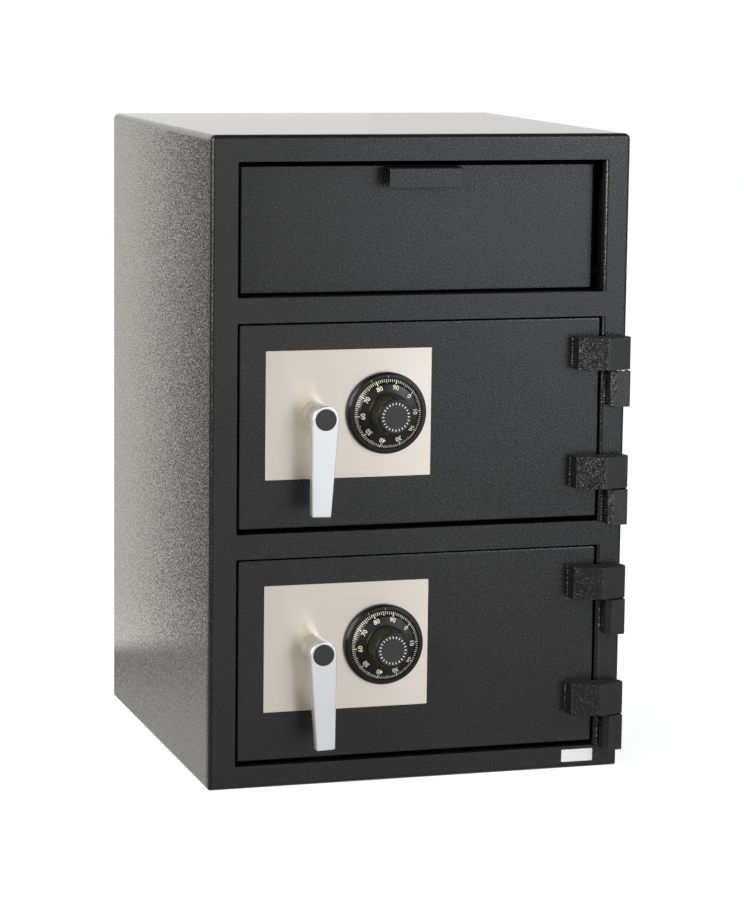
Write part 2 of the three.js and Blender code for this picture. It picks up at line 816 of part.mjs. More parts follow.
function shaftHoles(near, far) {
  return [
    barY(shaftRadius + shaftClearance, leverX, workZ, near - cutOverrun, far + cutOverrun),
    barY(spindleRadius + shaftClearance, dialX, workZ, near - cutOverrun, far + cutOverrun),
  ];
}

function keyPlate() {
  const shape = roundedShape(
    plateLeft, plateLeft + plateWidth, plateBottomInset, plateBottomInset + plateHeight,
    plateCornerRadius,
  );
  return shaped(alongY(shape, plateFront, doorFront), [], shaftHoles(plateFront, doorFront));
}

// A turned piece: its outline is given as radius and height, and it stands out along -Y.
function turned(profile, steps) {
  const points = profile.map(([radius, height]) => new THREE.Vector2(radius, height));
  const geometry = new THREE.LatheGeometry(points, steps);
  geometry.rotateX(Math.PI);
  return geometry;
}

function dialRing() {
  const inner = ringRadius - ringLipWidth - ringSlope;
  const bore = spindleRadius + shaftClearance;
  return turned([
    [bore, 0],
    [ringRadius, 0],
    [ringRadius, ringThickness - ringSlope],
    [ringRadius - ringSlope / 2, ringThickness - ringSlope / 4],
    [ringRadius - ringSlope, ringThickness],
    [inner + dialGap, ringThickness],
    [inner + dialGap, ringFloor],
    [bore, ringFloor],
    [bore, 0],
  ], fineSteps);
}

// Dial, knob and spindle in one: a disc with a sloped rim for the graduations, a tapered grip with
// V flutes and a smooth crown, and behind them the spindle that runs into the lock.
function dialKnob() {
  const gripLow = dialThickness + knobFlangeHeight;
  const crown = dialThickness + knobHeight;
  const rings = [
    [dialRadius, 0, 0],
    [dialRadius, dialRimHeight, 0],
    [dialConeRadius, dialConeHeight, 0],
    [knobFlangeRadius, dialThickness, 0],
    [knobFlangeRadius, gripLow, 0],
    [knobBaseRadius, gripLow, fluteDepth],
    [knobTopRadius, crown - 2 * knobEdge, fluteDepth],
    [knobTopRadius - knobEdge, crown, 0],
    [capRadius + dialGap, crown, 0],
    [capRadius + dialGap, crown - capThickness, 0],
  ];
  const around = 2 * fluteCount;
  const vertices = [0, 0, 0];
  for (const [radius, height, depth] of rings) {
    for (let i = 0; i < around; i += 1) {
      const angle = Math.PI * 2 * i / around;
      const reach = radius - (i % 2) * depth;
      vertices.push(reach * Math.cos(angle), reach * Math.sin(angle), height);
    }
  }
  vertices.push(0, 0, crown - capThickness);
  const topCentre = vertices.length / 3 - 1;
  const triangles = [];
  for (let i = 0; i < around; i += 1) {
    const next = (i + 1) % around;
    triangles.push(0, 1 + next, 1 + i);
    for (let ring = 0; ring + 1 < rings.length; ring += 1) {
      const low = 1 + ring * around;
      const high = low + around;
      triangles.push(low + i, low + next, high + next);
      triangles.push(low + i, high + next, high + i);
    }
    const last = 1 + (rings.length - 1) * around;
    triangles.push(topCentre, last + i, last + next);
  }
  const geometry = new THREE.BufferGeometry();
  geometry.setAttribute('position', new THREE.Float32BufferAttribute(vertices, 3));
  geometry.setIndex(triangles);
  geometry.rotateX(Math.PI / 2);
  const spindleEnd = doorBack + lockDepth * lockBoreShare - runningGap - dialBackY;
  return shaped(geometry, [barY(spindleRadius, 0, 0, -dialThickness / 2, spindleEnd)], []);
}

const dialBackY = plateFront - ringFloor - dialGap;
const dialFaceY = dialBackY - dialThickness;
const knobFrontY = dialFaceY - knobHeight;

function dialCap() {
  return barY(
    capRadius, 0, 0, knobFrontY, knobFrontY + capThickness - weldGap, fineSteps,
  );
}

// Lever: a tapered bar with a round head and a hub behind it, hollow for the shaft.
function leverHandle() {
  const half = leverEndWidth / 2;
  const taper = Math.asin((leverHeadRadius - half) / leverLength);
  const corner = leverEndCornerRadius;
  const shape = new THREE.Shape();
  shape.absarc(0, 0, leverHeadRadius, -taper, Math.PI + taper, false);
  const cornerZ = -leverLength + corner;
  shape.absarc(-half + corner, cornerZ, corner, Math.PI + taper, Math.PI * 3 / 2, false);
  shape.absarc(half - corner, cornerZ, corner, -Math.PI / 2, -taper, false);
  const faceY = front - leverProud;
  const barBack = faceY + leverThickness;
  const bar = alongY(shape, faceY, barBack, leverEdgeRadius, edgeSteps, arcSteps);
  const hubBack = plateFront - runningGap;
  const hubFront = barBack - leverThickness / 2;
  const hub = turned([
    [0, 0],
    [hubFootRadius, 0],
    [hubFootRadius, hubFootHeight],
    [hubRadius, hubFootHeight * 2],
    [hubRadius, hubBack - hubFront],
    [0, hubBack - hubFront],
  ], roundSteps);
  hub.translate(0, hubBack, 0);
  const recess = barY(
    insertRadius + weldGap, 0, 0, faceY - cutOverrun, faceY + insertThickness + weldGap, fineSteps,
  );
  const socket = barY(
    shaftRadius + runningGap, 0, 0, hubBack - shaftSocketDepth - runningGap, hubBack + cutOverrun,
  );
  return shaped(bar, [hub], [recess, socket]);
}

function leverInsert() {
  const faceY = front - leverProud;
  return barY(insertRadius, 0, 0, faceY, faceY + insertThickness, fineSteps);
}

// The crank turns from one side of straight down to the other as the lever swings.
const crankRadius = boltThrow / (2 * Math.sin(leverTurn / 2));
const crankPinX = crankRadius * Math.sin(leverTurn / 2);
const crankPinZ = -crankRadius * Math.cos(leverTurn / 2);
const boltY = frameBack + boltBehindFrame + boltRadius;
const carriageFront = boltY + boltRadius + carriageGap;
const carriageBack = carriageFront + carriageThickness;

function leverShaft() {
  const crankFront = doorBack + crankStandOff;
  const crankBack = crankFront + crankThickness;
  const link = new THREE.Shape();
  const direction = Math.atan2(crankPinZ, crankPinX);
  const opening = Math.acos((crankEyeRadius - crankEndRadius) / crankRadius);
  link.absarc(0, 0, crankEyeRadius, direction + opening, direction - opening + Math.PI * 2, false);
  link.absarc(crankPinX, crankPinZ, crankEndRadius, direction - opening, direction + opening, false);
  const shaftFront = plateFront - runningGap - shaftSocketDepth;
  return shaped(alongY(link, crankFront, crankBack), [
    barY(shaftRadius, 0, 0, shaftFront, crankBack),
    barY(crankPinRadius, crankPinX, crankPinZ, crankFront, carriageBack + runningGap),
  ], []);
}

const boltTipX = doorLeft + boltTipInset;
const carriageLeft = doorLeft + carriageInset;
const flangeRight = carriageLeft + carriageThickness;

function boltHeights() {
  const heights = [];
  const pitch = (doorHeight - 2 * boltEndInset) / (boltCount - 1);
  for (let i = 0; i < boltCount; i += 1) {
    heights.push(boltEndInset + i * pitch);
  }
  return heights;
}

// Live bolt: a round bar with a chamfered tip, fixed to the carriage's flange.
function liveBolt(z) {
  const length = carriageLeft - boltTipX;
  const bolt = new THREE.LatheGeometry([
    new THREE.Vector2(0, 0),
    new THREE.Vector2(boltRadius - boltTipChamfer, 0),
    new THREE.Vector2(boltRadius, boltTipChamfer),
    new THREE.Vector2(boltRadius, length),
    new THREE.Vector2(0, length),
  ], roundSteps);
  bolt.rotateZ(-Math.PI / 2);
  bolt.translate(boltTipX, boltY, z);
  return bolt;
}

const lockLow = workZ - lockBelowSpindle;
const lockBoltY = doorBack + lockDepth / 2;
const armTop = lockLow - lockBoltTravel - 2 * lugGap;
const lugLeft = dialX + lockBoltWidth / 2 + lugGap;
const lugRight = lugLeft + lugWidth;

function studPlaces() {
  return [
    [flangeRight + studInset, studEndInset],
    [flangeRight + studInset, doorHeight - studEndInset],
    [dialX - armStudInset, armTop - armHeight / 2],
  ];
}

// Carriage: a bent plate that carries the bolts, slotted for the studs and the crank pin. Its arm
// ends in a lug that passes under the lock bolt.
function boltCarriage() {
  const right = flangeRight + carriageReach;
  const middleX = carriageLeft + carriageThickness / 2;
  const middleY = carriageFront + carriageThickness / 2;
  const flangeFront = boltY - boltRadius;
  const plate = alongZ(
    bentStrip(
      [[middleX, flangeFront], [middleX, middleY], [right, middleY]],
      carriageThickness, carriageBendRadius,
    ),
    carriageEndInset, doorHeight - carriageEndInset,
  );
  const arm = alongY(
    roundedShape(right - armHeight, lugRight, armTop - armHeight, armTop, armBendRadius),
    carriageFront, carriageBack,
  );
  const lug = box(
    lugLeft, lugRight, lockBoltY - lockBoltThickness / 2, carriageBack,
    armTop - armHeight / 2, lockLow - lugGap,
  );
  const near = carriageFront - cutOverrun;
  const far = carriageBack + cutOverrun;
  const slots = studPlaces().map(([x, z]) => (
    alongY(slotShape(x, x + boltThrow, z, studRadius + slotClearance), near, far)
  ));
  const pinHalf = crankPinRadius + crankPinClearance;
  const crankSlot = alongY(roundedShape(
    leverX + crankPinX - pinHalf, leverX + crankPinX + pinHalf,
    workZ - crankRadius - pinHalf, workZ + crankPinZ + pinHalf, pinHalf,
  ), near, far);
  return shaped(plate, [arm, lug], [...slots, crankSlot]);
}

// Bolt guide: a flat bar on edge along the door's latch side, bored for the bolts.
function boltGuide() {
  const left = doorLeft + guideInset;
  const right = left + guideThickness;
  const far = boltY + boltRadius + guideOverhang;
  const bar = box(left, right, doorBack, far, guideEndInset, doorHeight - guideEndInset);
  const holes = boltHeights().map((z) => (
    barX(boltRadius + boltHoleClearance, boltY, z, left - cutOverrun, right + cutOverrun)
  ));
  return shaped(bar, [], holes);
}

// Dead bar: welded to the door's hinge side. Its relieved tip hooks behind the frame.
function deadBar() {
  const tip = windowRight + deadBarEngagement;
  const seatEnd = doorRight - leafStep;
  const far = doorBack + deadBarThickness;
  const shape = new THREE.Shape([
    new THREE.Vector2(tip - deadBarWidth, doorBack),
    new THREE.Vector2(seatEnd, doorBack),
    new THREE.Vector2(seatEnd, doorBack + deadBarRelief),
    new THREE.Vector2(tip, doorBack + deadBarRelief),
    new THREE.Vector2(tip, far),
    new THREE.Vector2(tip - deadBarWidth, far),
  ]);
  return alongZ(shape, deadBarEndInset, doorHeight - deadBarEndInset);
}

// Lock case: a closed casting, bored for the spindle and slotted for its bolt.
function lockCase() {
  const half = lockWidth / 2;
  const shape = roundedShape(
    dialX - half, dialX + half, lockLow, lockLow + lockHeight, lockCornerRadius,
  );
  const body = alongY(shape, doorBack, doorBack + lockDepth, lockEdgeRadius);
  const bore = barY(
    spindleRadius + shaftClearance, dialX, workZ,
    doorBack - cutOverrun, doorBack + lockDepth * lockBoreShare,
  );
  const wide = lockBoltWidth / 2 + runningGap;
  const thick = lockBoltThickness / 2 + runningGap;
  const slot = box(
    dialX - wide, dialX + wide, lockBoltY - thick, lockBoltY + thick,
    lockLow - cutOverrun, lockLow + lockBoltLength + runningGap,
  );
  return shaped(body, [], [bore, slot]);
}

function lockBolt() {
  const wide = lockBoltWidth / 2;
  const thick = lockBoltThickness / 2;
  return box(
    dialX - wide, dialX + wide, lockBoltY - thick, lockBoltY + thick,
    lockLow, lockLow + lockBoltLength,
  );
}

// One door with everything on it. Heights are counted from the door's lower edge.
function makeDoor(name, doorLow, lean) {
  const door = new THREE.Group();
  door.position.z = doorLow;
  piece(door, `${name}_door`, doorSlab(), paint);
  for (const [place, rise] of Object.entries(hingeRises)) {
    const leaf = piece(door, `${name}_${place}_leaf`, hingeLeaf(rise + leafRise), paint);
    leaf.position.set(hingeX, hingeY, 0);
  }
  piece(door, `${name}_key_plate`, keyPlate(), brushedSteel);
  piece(door, `${name}_dial_ring`, dialRing(), dialBlack).position.set(dialX, plateFront, workZ);
  piece(door, `${name}_dial`, dialKnob(), dialBlack).position.set(dialX, dialBackY, workZ);
  piece(door, `${name}_dial_cap`, dialCap(), plasticBlack).position.set(dialX, 0, workZ);
  const lever = new THREE.Group();
  lever.position.set(leverX, 0, workZ);
  lever.rotation.y = lean;
  piece(lever, `${name}_lever`, leverHandle(), satinChrome);
  piece(lever, `${name}_lever_insert`, leverInsert(), plasticBlack);
  door.add(lever);
  piece(door, `${name}_lever_shaft`, leverShaft(), zincSteel).position.set(leverX, 0, workZ);
  piece(door, `${name}_bolt_carriage`, boltCarriage(), zincSteel);
  boltHeights().forEach((z, i) => {
    piece(door, `${name}_live_bolt_${i + 1}`, liveBolt(z), zincSteel);
  });
  piece(door, `${name}_bolt_guide`, boltGuide(), paint);
  piece(door, `${name}_dead_bar`, deadBar(), paint);
  piece(door, `${name}_lock_case`, lockCase(), lockZinc);
  piece(door, `${name}_lock_bolt`, lockBolt(), zincSteel);
  return door;
}

const safe = new THREE.Group();
safe.add(carcass, hopperFixings, hingeFixings, drawer);
safe.add(makeDoor('upper', doorLows.upper, upperLeverLean));
safe.add(makeDoor('lower', doorLows.lower, lowerLeverLean));

export default safe;
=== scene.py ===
# Looks for the drop safe with a tilt-out deposit drawer: a finish for every solid of the frame, and
# the fine pieces that the solids leave out. Metres, in the frame's own coordinates.
import json
import math

import bmesh
import bpy
from mathutils import Euler, Matrix, Vector

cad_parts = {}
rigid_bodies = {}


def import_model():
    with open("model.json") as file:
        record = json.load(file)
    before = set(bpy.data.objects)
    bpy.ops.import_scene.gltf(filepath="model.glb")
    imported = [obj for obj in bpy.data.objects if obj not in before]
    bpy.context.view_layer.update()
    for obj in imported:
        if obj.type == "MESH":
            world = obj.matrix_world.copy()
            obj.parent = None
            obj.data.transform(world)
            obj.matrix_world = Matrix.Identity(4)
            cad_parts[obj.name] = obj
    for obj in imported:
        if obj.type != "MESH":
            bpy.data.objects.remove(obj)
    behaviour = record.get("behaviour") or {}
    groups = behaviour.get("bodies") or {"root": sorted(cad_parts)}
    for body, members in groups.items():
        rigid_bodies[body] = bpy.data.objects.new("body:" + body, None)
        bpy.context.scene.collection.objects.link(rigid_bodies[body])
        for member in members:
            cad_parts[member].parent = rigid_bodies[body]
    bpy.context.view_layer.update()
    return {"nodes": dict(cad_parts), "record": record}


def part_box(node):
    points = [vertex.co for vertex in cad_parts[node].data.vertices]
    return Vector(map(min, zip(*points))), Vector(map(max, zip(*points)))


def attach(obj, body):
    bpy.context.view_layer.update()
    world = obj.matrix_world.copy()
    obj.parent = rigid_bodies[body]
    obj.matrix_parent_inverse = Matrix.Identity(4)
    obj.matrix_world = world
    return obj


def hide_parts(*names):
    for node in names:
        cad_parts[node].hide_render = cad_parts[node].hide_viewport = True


for leftover in list(bpy.data.objects):
    bpy.data.objects.remove(leftover)

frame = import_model()

MM = 0.001

# Camera, at the photograph's place and angle
CAMERA_PLACE = (-1.1489, -3.7882, 0.9593)
CAMERA_YAW = math.radians(17.124)
CAMERA_PITCH = math.radians(8.660)
CAMERA_ROLL = math.radians(0.704)
CAMERA_LENS = 128.6
SENSOR_SIZE = 36.0
CAMERA_REACH = 100

# Dial: radii and heights in front of its back
DIAL_RADIUS = 41 * MM
DIAL_RIM_HEIGHT = 4 * MM
DIAL_RIM_EDGE = 0.5 * MM
DIAL_CONE_RADIUS = 34.6 * MM
DIAL_CONE_HEIGHT = 9 * MM
DIAL_THICKNESS = 10.6 * MM
KNOB_FLANGE_RADIUS = 25 * MM
KNOB_FLANGE_HEIGHT = 1.4 * MM
KNOB_BASE_RADIUS = 23.2 * MM
KNOB_TOP_RADIUS = 21.3 * MM
KNOB_HEIGHT = 26 * MM
KNOB_EDGE = 1.2 * MM
KNOB_NECK_SHARE = 2.5
KNOB_ROUND_SHARES = ((0, 1.6), (0.15, 0.5), (0.5, 0.15), (1, 0))
KNOB_CAP_SEAT = 19 * MM
KNOB_CAP_DEPTH = 1.5 * MM
FLUTE_COUNT = 54
FLUTE_DEPTH = 0.8 * MM
FLUTE_STEPS = 6
SPINDLE_RADIUS = 4.5 * MM
CAP_MARK_COUNT = 24
CAP_MARK_INNER = 14.2 * MM
CAP_MARK_OUTER = 16.8 * MM
CAP_MARK_WIDTH = 0.9 * MM

# Dial graduations
DIAL_DIVISIONS = 100
DIAL_NUMBER_STEP = 10
DIAL_MIDDLE_STEP = 5
DIAL_TURN_AT_REST = math.radians(50)
TICK_OUTER_SHARE = 0.08
TICK_LONG_SHARE = 0.8
TICK_MIDDLE_SHARE = 0.66
TICK_SHORT_SHARE = 0.5
TICK_WIDTH = 0.6 * MM
TICK_WIDE = 0.95 * MM
PAINT_THICKNESS = 0.06 * MM
NUMBER_RADIUS = 31.4 * MM
NUMBER_SIZE = 7.6 * MM
NUMBER_BOLDNESS = 0.1 * MM

# Dial ring
RING_RADIUS = 48 * MM
RING_HEIGHT = 8.5 * MM
RING_FLOOR = 3 * MM
RING_SEAT = 41.5 * MM
RING_BORE = 5.1 * MM
RING_STEPS = 160
# How far the ring's shoulder is drawn in, and the height where it is
RING_SHOULDER = ((0 * MM, 4.6 * MM), (0.3 * MM, 5.6 * MM), (1.2 * MM, 7.2 * MM), (2 * MM, 8.1 * MM))
RING_LAND = 2.8 * MM
INDEX_LENGTH = 2.4 * MM
INDEX_WIDTH = 0.8 * MM
INDEX_SIDE_ANGLE = math.radians(-28)

# Lever
LEVER_LENGTH = 113 * MM
LEVER_HEAD_RADIUS = 16 * MM
LEVER_END_WIDTH = 22.8 * MM
LEVER_THICKNESS = 10 * MM
LEVER_EDGE = 1.4 * MM
LEVER_BACK_EDGE = 0.3 * MM
LEVER_EDGE_STEPS = 8
LEVER_BACK_EDGE_STEPS = 2
LEVER_END_CORNER = 1.6 * MM
LEVER_CORNER_STEPS = 8
LEVER_LEANS = {"upper": math.radians(2), "lower": math.radians(-2)}
HUB_RADIUS = 15 * MM
HUB_FOOT_RADIUS = 15.6 * MM
HUB_FOOT_HEIGHT = 3 * MM
HUB_SEAM = 0.5 * MM
INSERT_RADIUS = 12.4 * MM
INSERT_DEPTH = 2 * MM
FIT_GAP = 0.3 * MM
ARC_STEPS = 24
CORNER_STEPS = 6

# Front frame: outer rounding, corners, windows and the rolled lip of each right jamb
FRAME_ROUNDING = 5 * MM
FRAME_CORNER = 7 * MM
FRAME_FOOT_CORNER = 2.6 * MM
FRAME_ROUND_STEPS = 10
SMALLEST_CORNER = 0.4 * MM
WINDOW_LEFT = -222.5 * MM
WINDOW_RIGHT = 228 * MM
WINDOW_CORNER = 2 * MM
WINDOW_EDGE = 1.8 * MM
WINDOW_EDGE_STEPS = 3
DRAWER_WINDOW_RIGHT = 228.4 * MM
DRAWER_WINDOW = (576 * MM, 731.7 * MM)
DOOR_WINDOWS = {"upper": (301.5 * MM, 547 * MM), "lower": (27 * MM, 272.5 * MM)}
LIP_RADIUS = 4.8 * MM
DRAWER_LIP_RADIUS = 4.4 * MM
LIP_GAP = 0.5 * MM
LIP_STEPS = 10

# Blank label on the front frame
LABEL_LEFT = 183 * MM
LABEL_RIGHT = 222.5 * MM
LABEL_LOW = 8.1 * MM
LABEL_HIGH = 23.1 * MM
LABEL_THICKNESS = 0.15 * MM
LABEL_CORNER = 1 * MM

# Weld beads at the hinges
BEAD_STEP = 0.6 * MM
BEAD_PITCH = 3.2 * MM
BEAD_WANDER = 5 * MM
BEAD_RIPPLE = 0.35
BEAD_SIDES = 10
BEAD_RADIUS = 1.1 * MM
KNUCKLE_BEAD_RADIUS = 2.4 * MM
KNUCKLE_BEAD_REACH = 1.4 * MM
BEAD_INSET = 1.2 * MM

# Cover screws of the lock cases, and the washers in the hinges
SCREW_RADIUS = 2.8 * MM
SCREW_HEIGHT = 1.6 * MM
SCREW_EDGE = 0.4 * MM
SCREW_INSET = 6.5 * MM
SCREW_RECESS = 0.9 * MM
SCREW_RECESS_RADIUS = 1.1 * MM
WASHER_RADIUS = 10.2 * MM
WASHER_BORE = 9 * MM
WASHER_PLAY = 0.1 * MM

DOORS = ("upper", "lower")
HINGES = ("top", "bottom")


# Node helpers. A texture is placed by the object's own coordinates, so it stays on its piece.
def new_material(name):
    material = bpy.data.materials.new(name)
    material.use_nodes = True
    return material, material.node_tree, material.node_tree.nodes["Principled BSDF"]


def own_coordinates(tree, stretch=(1, 1, 1)):
    place = tree.nodes.new("ShaderNodeTexCoord")
    mapping = tree.nodes.new("ShaderNodeMapping")
    mapping.inputs["Scale"].default_value = stretch
    tree.links.new(place.outputs["Object"], mapping.inputs["Vector"])
    return mapping.outputs["Vector"]


def noise(tree, scale, detail=2.0, roughness=0.5, stretch=(1, 1, 1)):
    node = tree.nodes.new("ShaderNodeTexNoise")
    node.inputs["Scale"].default_value = scale
    node.inputs["Detail"].default_value = detail
    node.inputs["Roughness"].default_value = roughness
    tree.links.new(own_coordinates(tree, stretch), node.inputs["Vector"])
    return node.outputs["Fac"]


def ranged(tree, value, low, high, start=0.3, end=0.7):
    node = tree.nodes.new("ShaderNodeMapRange")
    node.inputs["From Min"].default_value = start
    node.inputs["From Max"].default_value = end
    node.inputs["To Min"].default_value = low
    node.inputs["To Max"].default_value = high
    tree.links.new(value, node.inputs["Value"])
    return node.outputs["Result"]


def blended(tree, factor, first, second):
    node = tree.nodes.new("ShaderNodeMix")
    node.data_type = "RGBA"
    node.inputs[6].default_value = (*first, 1)
    node.inputs[7].default_value = (*second, 1)
    tree.links.new(factor, node.inputs["Factor"])
    return node.outputs[2]


# The first value plus the second times a weight.
def summed(tree, first, second, weight):
    node = tree.nodes.new("ShaderNodeMath")
    node.operation = "MULTIPLY_ADD"
    node.inputs[1].default_value = weight
    tree.links.new(second, node.inputs[0])
    tree.links.new(first, node.inputs[2])
    return node.outputs["Value"]


def multiplied(tree, first, second):
    node = tree.nodes.new("ShaderNodeMath")
    node.operation = "MULTIPLY"
    tree.links.new(first, node.inputs[0])
    tree.links.new(second, node.inputs[1])
    return node.outputs["Value"]


def bumped(tree, height, distance):
    node = tree.nodes.new("ShaderNodeBump")
    node.inputs["Strength"].default_value = 1
    node.inputs["Distance"].default_value = distance
    tree.links.new(height, node.inputs["Height"])
    return node.outputs["Normal"]


# Tilts the normal by a texture's three channels: soft pebbles, or small cells that glint one by
# one. Unlike a bump, this keeps its strength where the surface is seen at a low angle. The tilt is
# one number, or a pair for the faces that slant to the left and for the rest.
def pebbled(tree, scale, tilt, cells):
    grain = tree.nodes.new("ShaderNodeTexVoronoi" if cells else "ShaderNodeTexNoise")
    grain.inputs["Scale"].default_value = scale
    if not cells:
        grain.inputs["Detail"].default_value = 1.5
    tree.links.new(own_coordinates(tree), grain.inputs["Vector"])
    centred = tree.nodes.new("ShaderNodeVectorMath")
    centred.operation = "SUBTRACT"
    centred.inputs[1].default_value = (0.5, 0.5, 0.5)
    tree.links.new(grain.outputs["Color"], centred.inputs[0])
    scaled = tree.nodes.new("ShaderNodeVectorMath")
    scaled.operation = "SCALE"
    tree.links.new(centred.outputs["Vector"], scaled.inputs[0])
    if isinstance(tilt, float):
        scaled.inputs["Scale"].default_value = tilt
    else:
        tree.links.new(slanting_left(tree, *tilt), scaled.inputs["Scale"])
    geometry = tree.nodes.new("ShaderNodeNewGeometry")
    tilted = tree.nodes.new("ShaderNodeVectorMath")
    tree.links.new(geometry.outputs["Normal"], tilted.inputs[0])
    tree.links.new(scaled.outputs["Vector"], tilted.inputs[1])
    unit = tree.nodes.new("ShaderNodeVectorMath")
    unit.operation = "NORMALIZE"
    tree.links.new(tilted.outputs["Vector"], unit.inputs[0])
    return unit.outputs["Vector"], grain.outputs["Distance" if cells else "Fac"]


# One value on a piece's own faces that slant to the left, and another on the rest.
def slanting_left(tree, on_slants, elsewhere):
    place = tree.nodes.new("ShaderNodeTexCoord")
    split = tree.nodes.new("ShaderNodeSeparateXYZ")
    tree.links.new(place.outputs["Normal"], split.inputs["Vector"])
    leftward = ranged(tree, split.outputs["X"], 1, 0, -0.15, 0.0)
    oblique = ranged(tree, split.outputs["X"], 0, 1, -0.95, -0.85)
    return ranged(tree, multiplied(tree, leftward, oblique), elsewhere, on_slants, 0, 1)


# One value on a piece's own top faces, and another on the rest.
def facing_up(tree, on_top, elsewhere):
    place = tree.nodes.new("ShaderNodeTexCoord")
    split = tree.nodes.new("ShaderNodeSeparateXYZ")
    tree.links.new(place.outputs["Normal"], split.inputs["Vector"])
    return ranged(tree, split.outputs["Z"], elsewhere, on_top, 0.5, 0.9)


# Powder coat: dark, with a fine pebbled skin that is a little duller in its hollows. A coat with
# cells, for hinges and welds, is much duller on top.
def powder_coat(name, scale, tilt, roughness, gloss=0.0, cells=False, shine=0.5, tone=1.0):
    material, tree, shader = new_material(name)
    shader.inputs["Specular IOR Level"].default_value = shine
    shader.inputs["Coat Weight"].default_value = gloss
    shader.inputs["Coat Roughness"].default_value = roughness
    normal, grain = pebbled(tree, scale, tilt, cells)
    clouds = noise(tree, scale=5, detail=3)
    # A tone below one darkens both colours; the inner coat uses it as painted shade.
    dark, light = ([tone * channel for channel in colour] for colour in (COAT_DARK, COAT_LIGHT))
    tree.links.new(blended(tree, ranged(tree, clouds, 0, 1), dark, light), shader.inputs["Base Color"])
    rough = ranged(tree, grain, roughness * (1 + COAT_UNEVEN), roughness * (1 - COAT_UNEVEN))
    if cells:
        rough = multiplied(tree, rough, facing_up(tree, COAT_DULL_TOP, 1))
    tree.links.new(rough, shader.inputs["Roughness"])
    tree.links.new(normal, shader.inputs["Normal"])
    tree.links.new(normal, shader.inputs["Coat Normal"])
    return material


# Brushed plate: warm bright steel, brushed along its width.
def brushed_plate(name):
    material, tree, shader = new_material(name)
    streaks = noise(tree, scale=55, detail=4, roughness=0.7, stretch=(0.12, 1, 14))
    clouds = noise(tree, scale=9, detail=2)
    tone = summed(tree, streaks, clouds, weight=0.6)
    mixed = ranged(tree, tone, 0, 1, 0.6, 1.0)
    colour = blended(tree, mixed, (0.89, 0.815, 0.715), (0.97, 0.905, 0.815))
    tree.links.new(colour, shader.inputs["Base Color"])
    shader.inputs["Metallic"].default_value = 1.0
    shader.inputs["Anisotropic"].default_value = 0.8
    shader.inputs["Anisotropic Rotation"].default_value = 0.25
    tangent = tree.nodes.new("ShaderNodeTangent")
    tangent.direction_type = "RADIAL"
    tangent.axis = "Z"
    tree.links.new(tangent.outputs["Tangent"], shader.inputs["Tangent"])
    tree.links.new(ranged(tree, streaks, 0.3, 0.37), shader.inputs["Roughness"])
    tree.links.new(bumped(tree, streaks, 0.02 * MM), shader.inputs["Normal"])
    return material


# Two colours in soft clouds, and a fine grain as bump. The grain or the clouds vary the roughness.
def grained(
    name, colours, clouds, grain, roughness, bump, metallic=0.0, specular=0.5, rough_clouds=False,
):
    material, tree, shader = new_material(name)
    shader.inputs["Metallic"].default_value = metallic
    shader.inputs["Specular IOR Level"].default_value = specular
    cloud = noise(tree, **clouds)
    fine = noise(tree, **grain)
    tree.links.new(blended(tree, ranged(tree, cloud, 0, 1), *colours), shader.inputs["Base Color"])
    rough = ranged(tree, cloud if rough_clouds else fine, *roughness)
    tree.links.new(rough, shader.inputs["Roughness"])
    tree.links.new(bumped(tree, fine, bump), shader.inputs["Normal"])
    return material


# Paint of the graduations, index marks and cap marks, a little uneven.
def mark_paint(name, dark, light):
    material, tree, shader = new_material(name)
    specks = noise(tree, scale=900, detail=3)
    colour = blended(tree, ranged(tree, specks, 0, 1, 0.35, 0.6), dark, light)
    tree.links.new(colour, shader.inputs["Base Color"])
    shader.inputs["Roughness"].default_value = 0.6
    return material


# Paper label under a clear film, with faint fibres.
def label_paper(name):
    material, tree, shader = new_material(name)
    fibres = noise(tree, scale=900, detail=4, roughness=0.7)
    colour = blended(tree, ranged(tree, fibres, 0, 1), (0.8, 0.8, 0.79), (0.88, 0.88, 0.87))
    tree.links.new(colour, shader.inputs["Base Color"])
    shader.inputs["Roughness"].default_value = 0.35
    tree.links.new(bumped(tree, fibres, 0.02 * MM), shader.inputs["Normal"])
    return material


COAT_DARK = (0.0075, 0.0075, 0.0082)
COAT_LIGHT = (0.012, 0.012, 0.0128)
COAT_UNEVEN = 0.2
COAT_DULL_TOP = 3
front_coat = powder_coat("pebbled_coat", scale=520, tilt=0.34, roughness=0.27)
sheet_coat = powder_coat("sheet_coat", scale=560, tilt=0.23, roughness=0.12, gloss=0.6)
# The coat of the parts inside the case is the same paint with its colour darkened, as painted shade.
inner_painted_shade_coat = powder_coat("inner_painted_shade_coat", scale=450, tilt=0.2, roughness=0.5, shine=0.1, tone=0.3)
lip_coat = powder_coat("lip_coat", scale=520, tilt=0.3, roughness=0.2, gloss=0.6)
weld_coat = powder_coat("weld_coat", scale=700, tilt=0.7, roughness=0.24, gloss=1.0, cells=True)
# The hinges' ramps glint, the upper ones most; on the knuckles only the chamfer does, and less.
HINGE_COATS = {
    "upper_leaf": powder_coat("hinge_coat", 1300, (0.8, 0.12), 0.27, gloss=0.2, cells=True),
    "lower_leaf": powder_coat("low_hinge_coat", 1300, (0.6, 0.12), 0.26, cells=True),
    "upper_knuckle": powder_coat("knuckle_coat", 1300, (0.3, 0.12), 0.27, gloss=0.2, cells=True),
    "lower_knuckle": powder_coat("low_knuckle_coat", 1300, (0.2, 0.12), 0.26, cells=True),
}

# Satin finish of the levers: fine blasted metal with faint clouds.
satin_metal = grained(
    "satin_lever_metal", ((0.88, 0.9, 0.905), (0.93, 0.95, 0.955)), metallic=0.85,
    clouds={"scale": 14}, grain={"scale": 1600}, roughness=(0.3, 0.38), bump=0.02 * MM,
    rough_clouds=True,
)
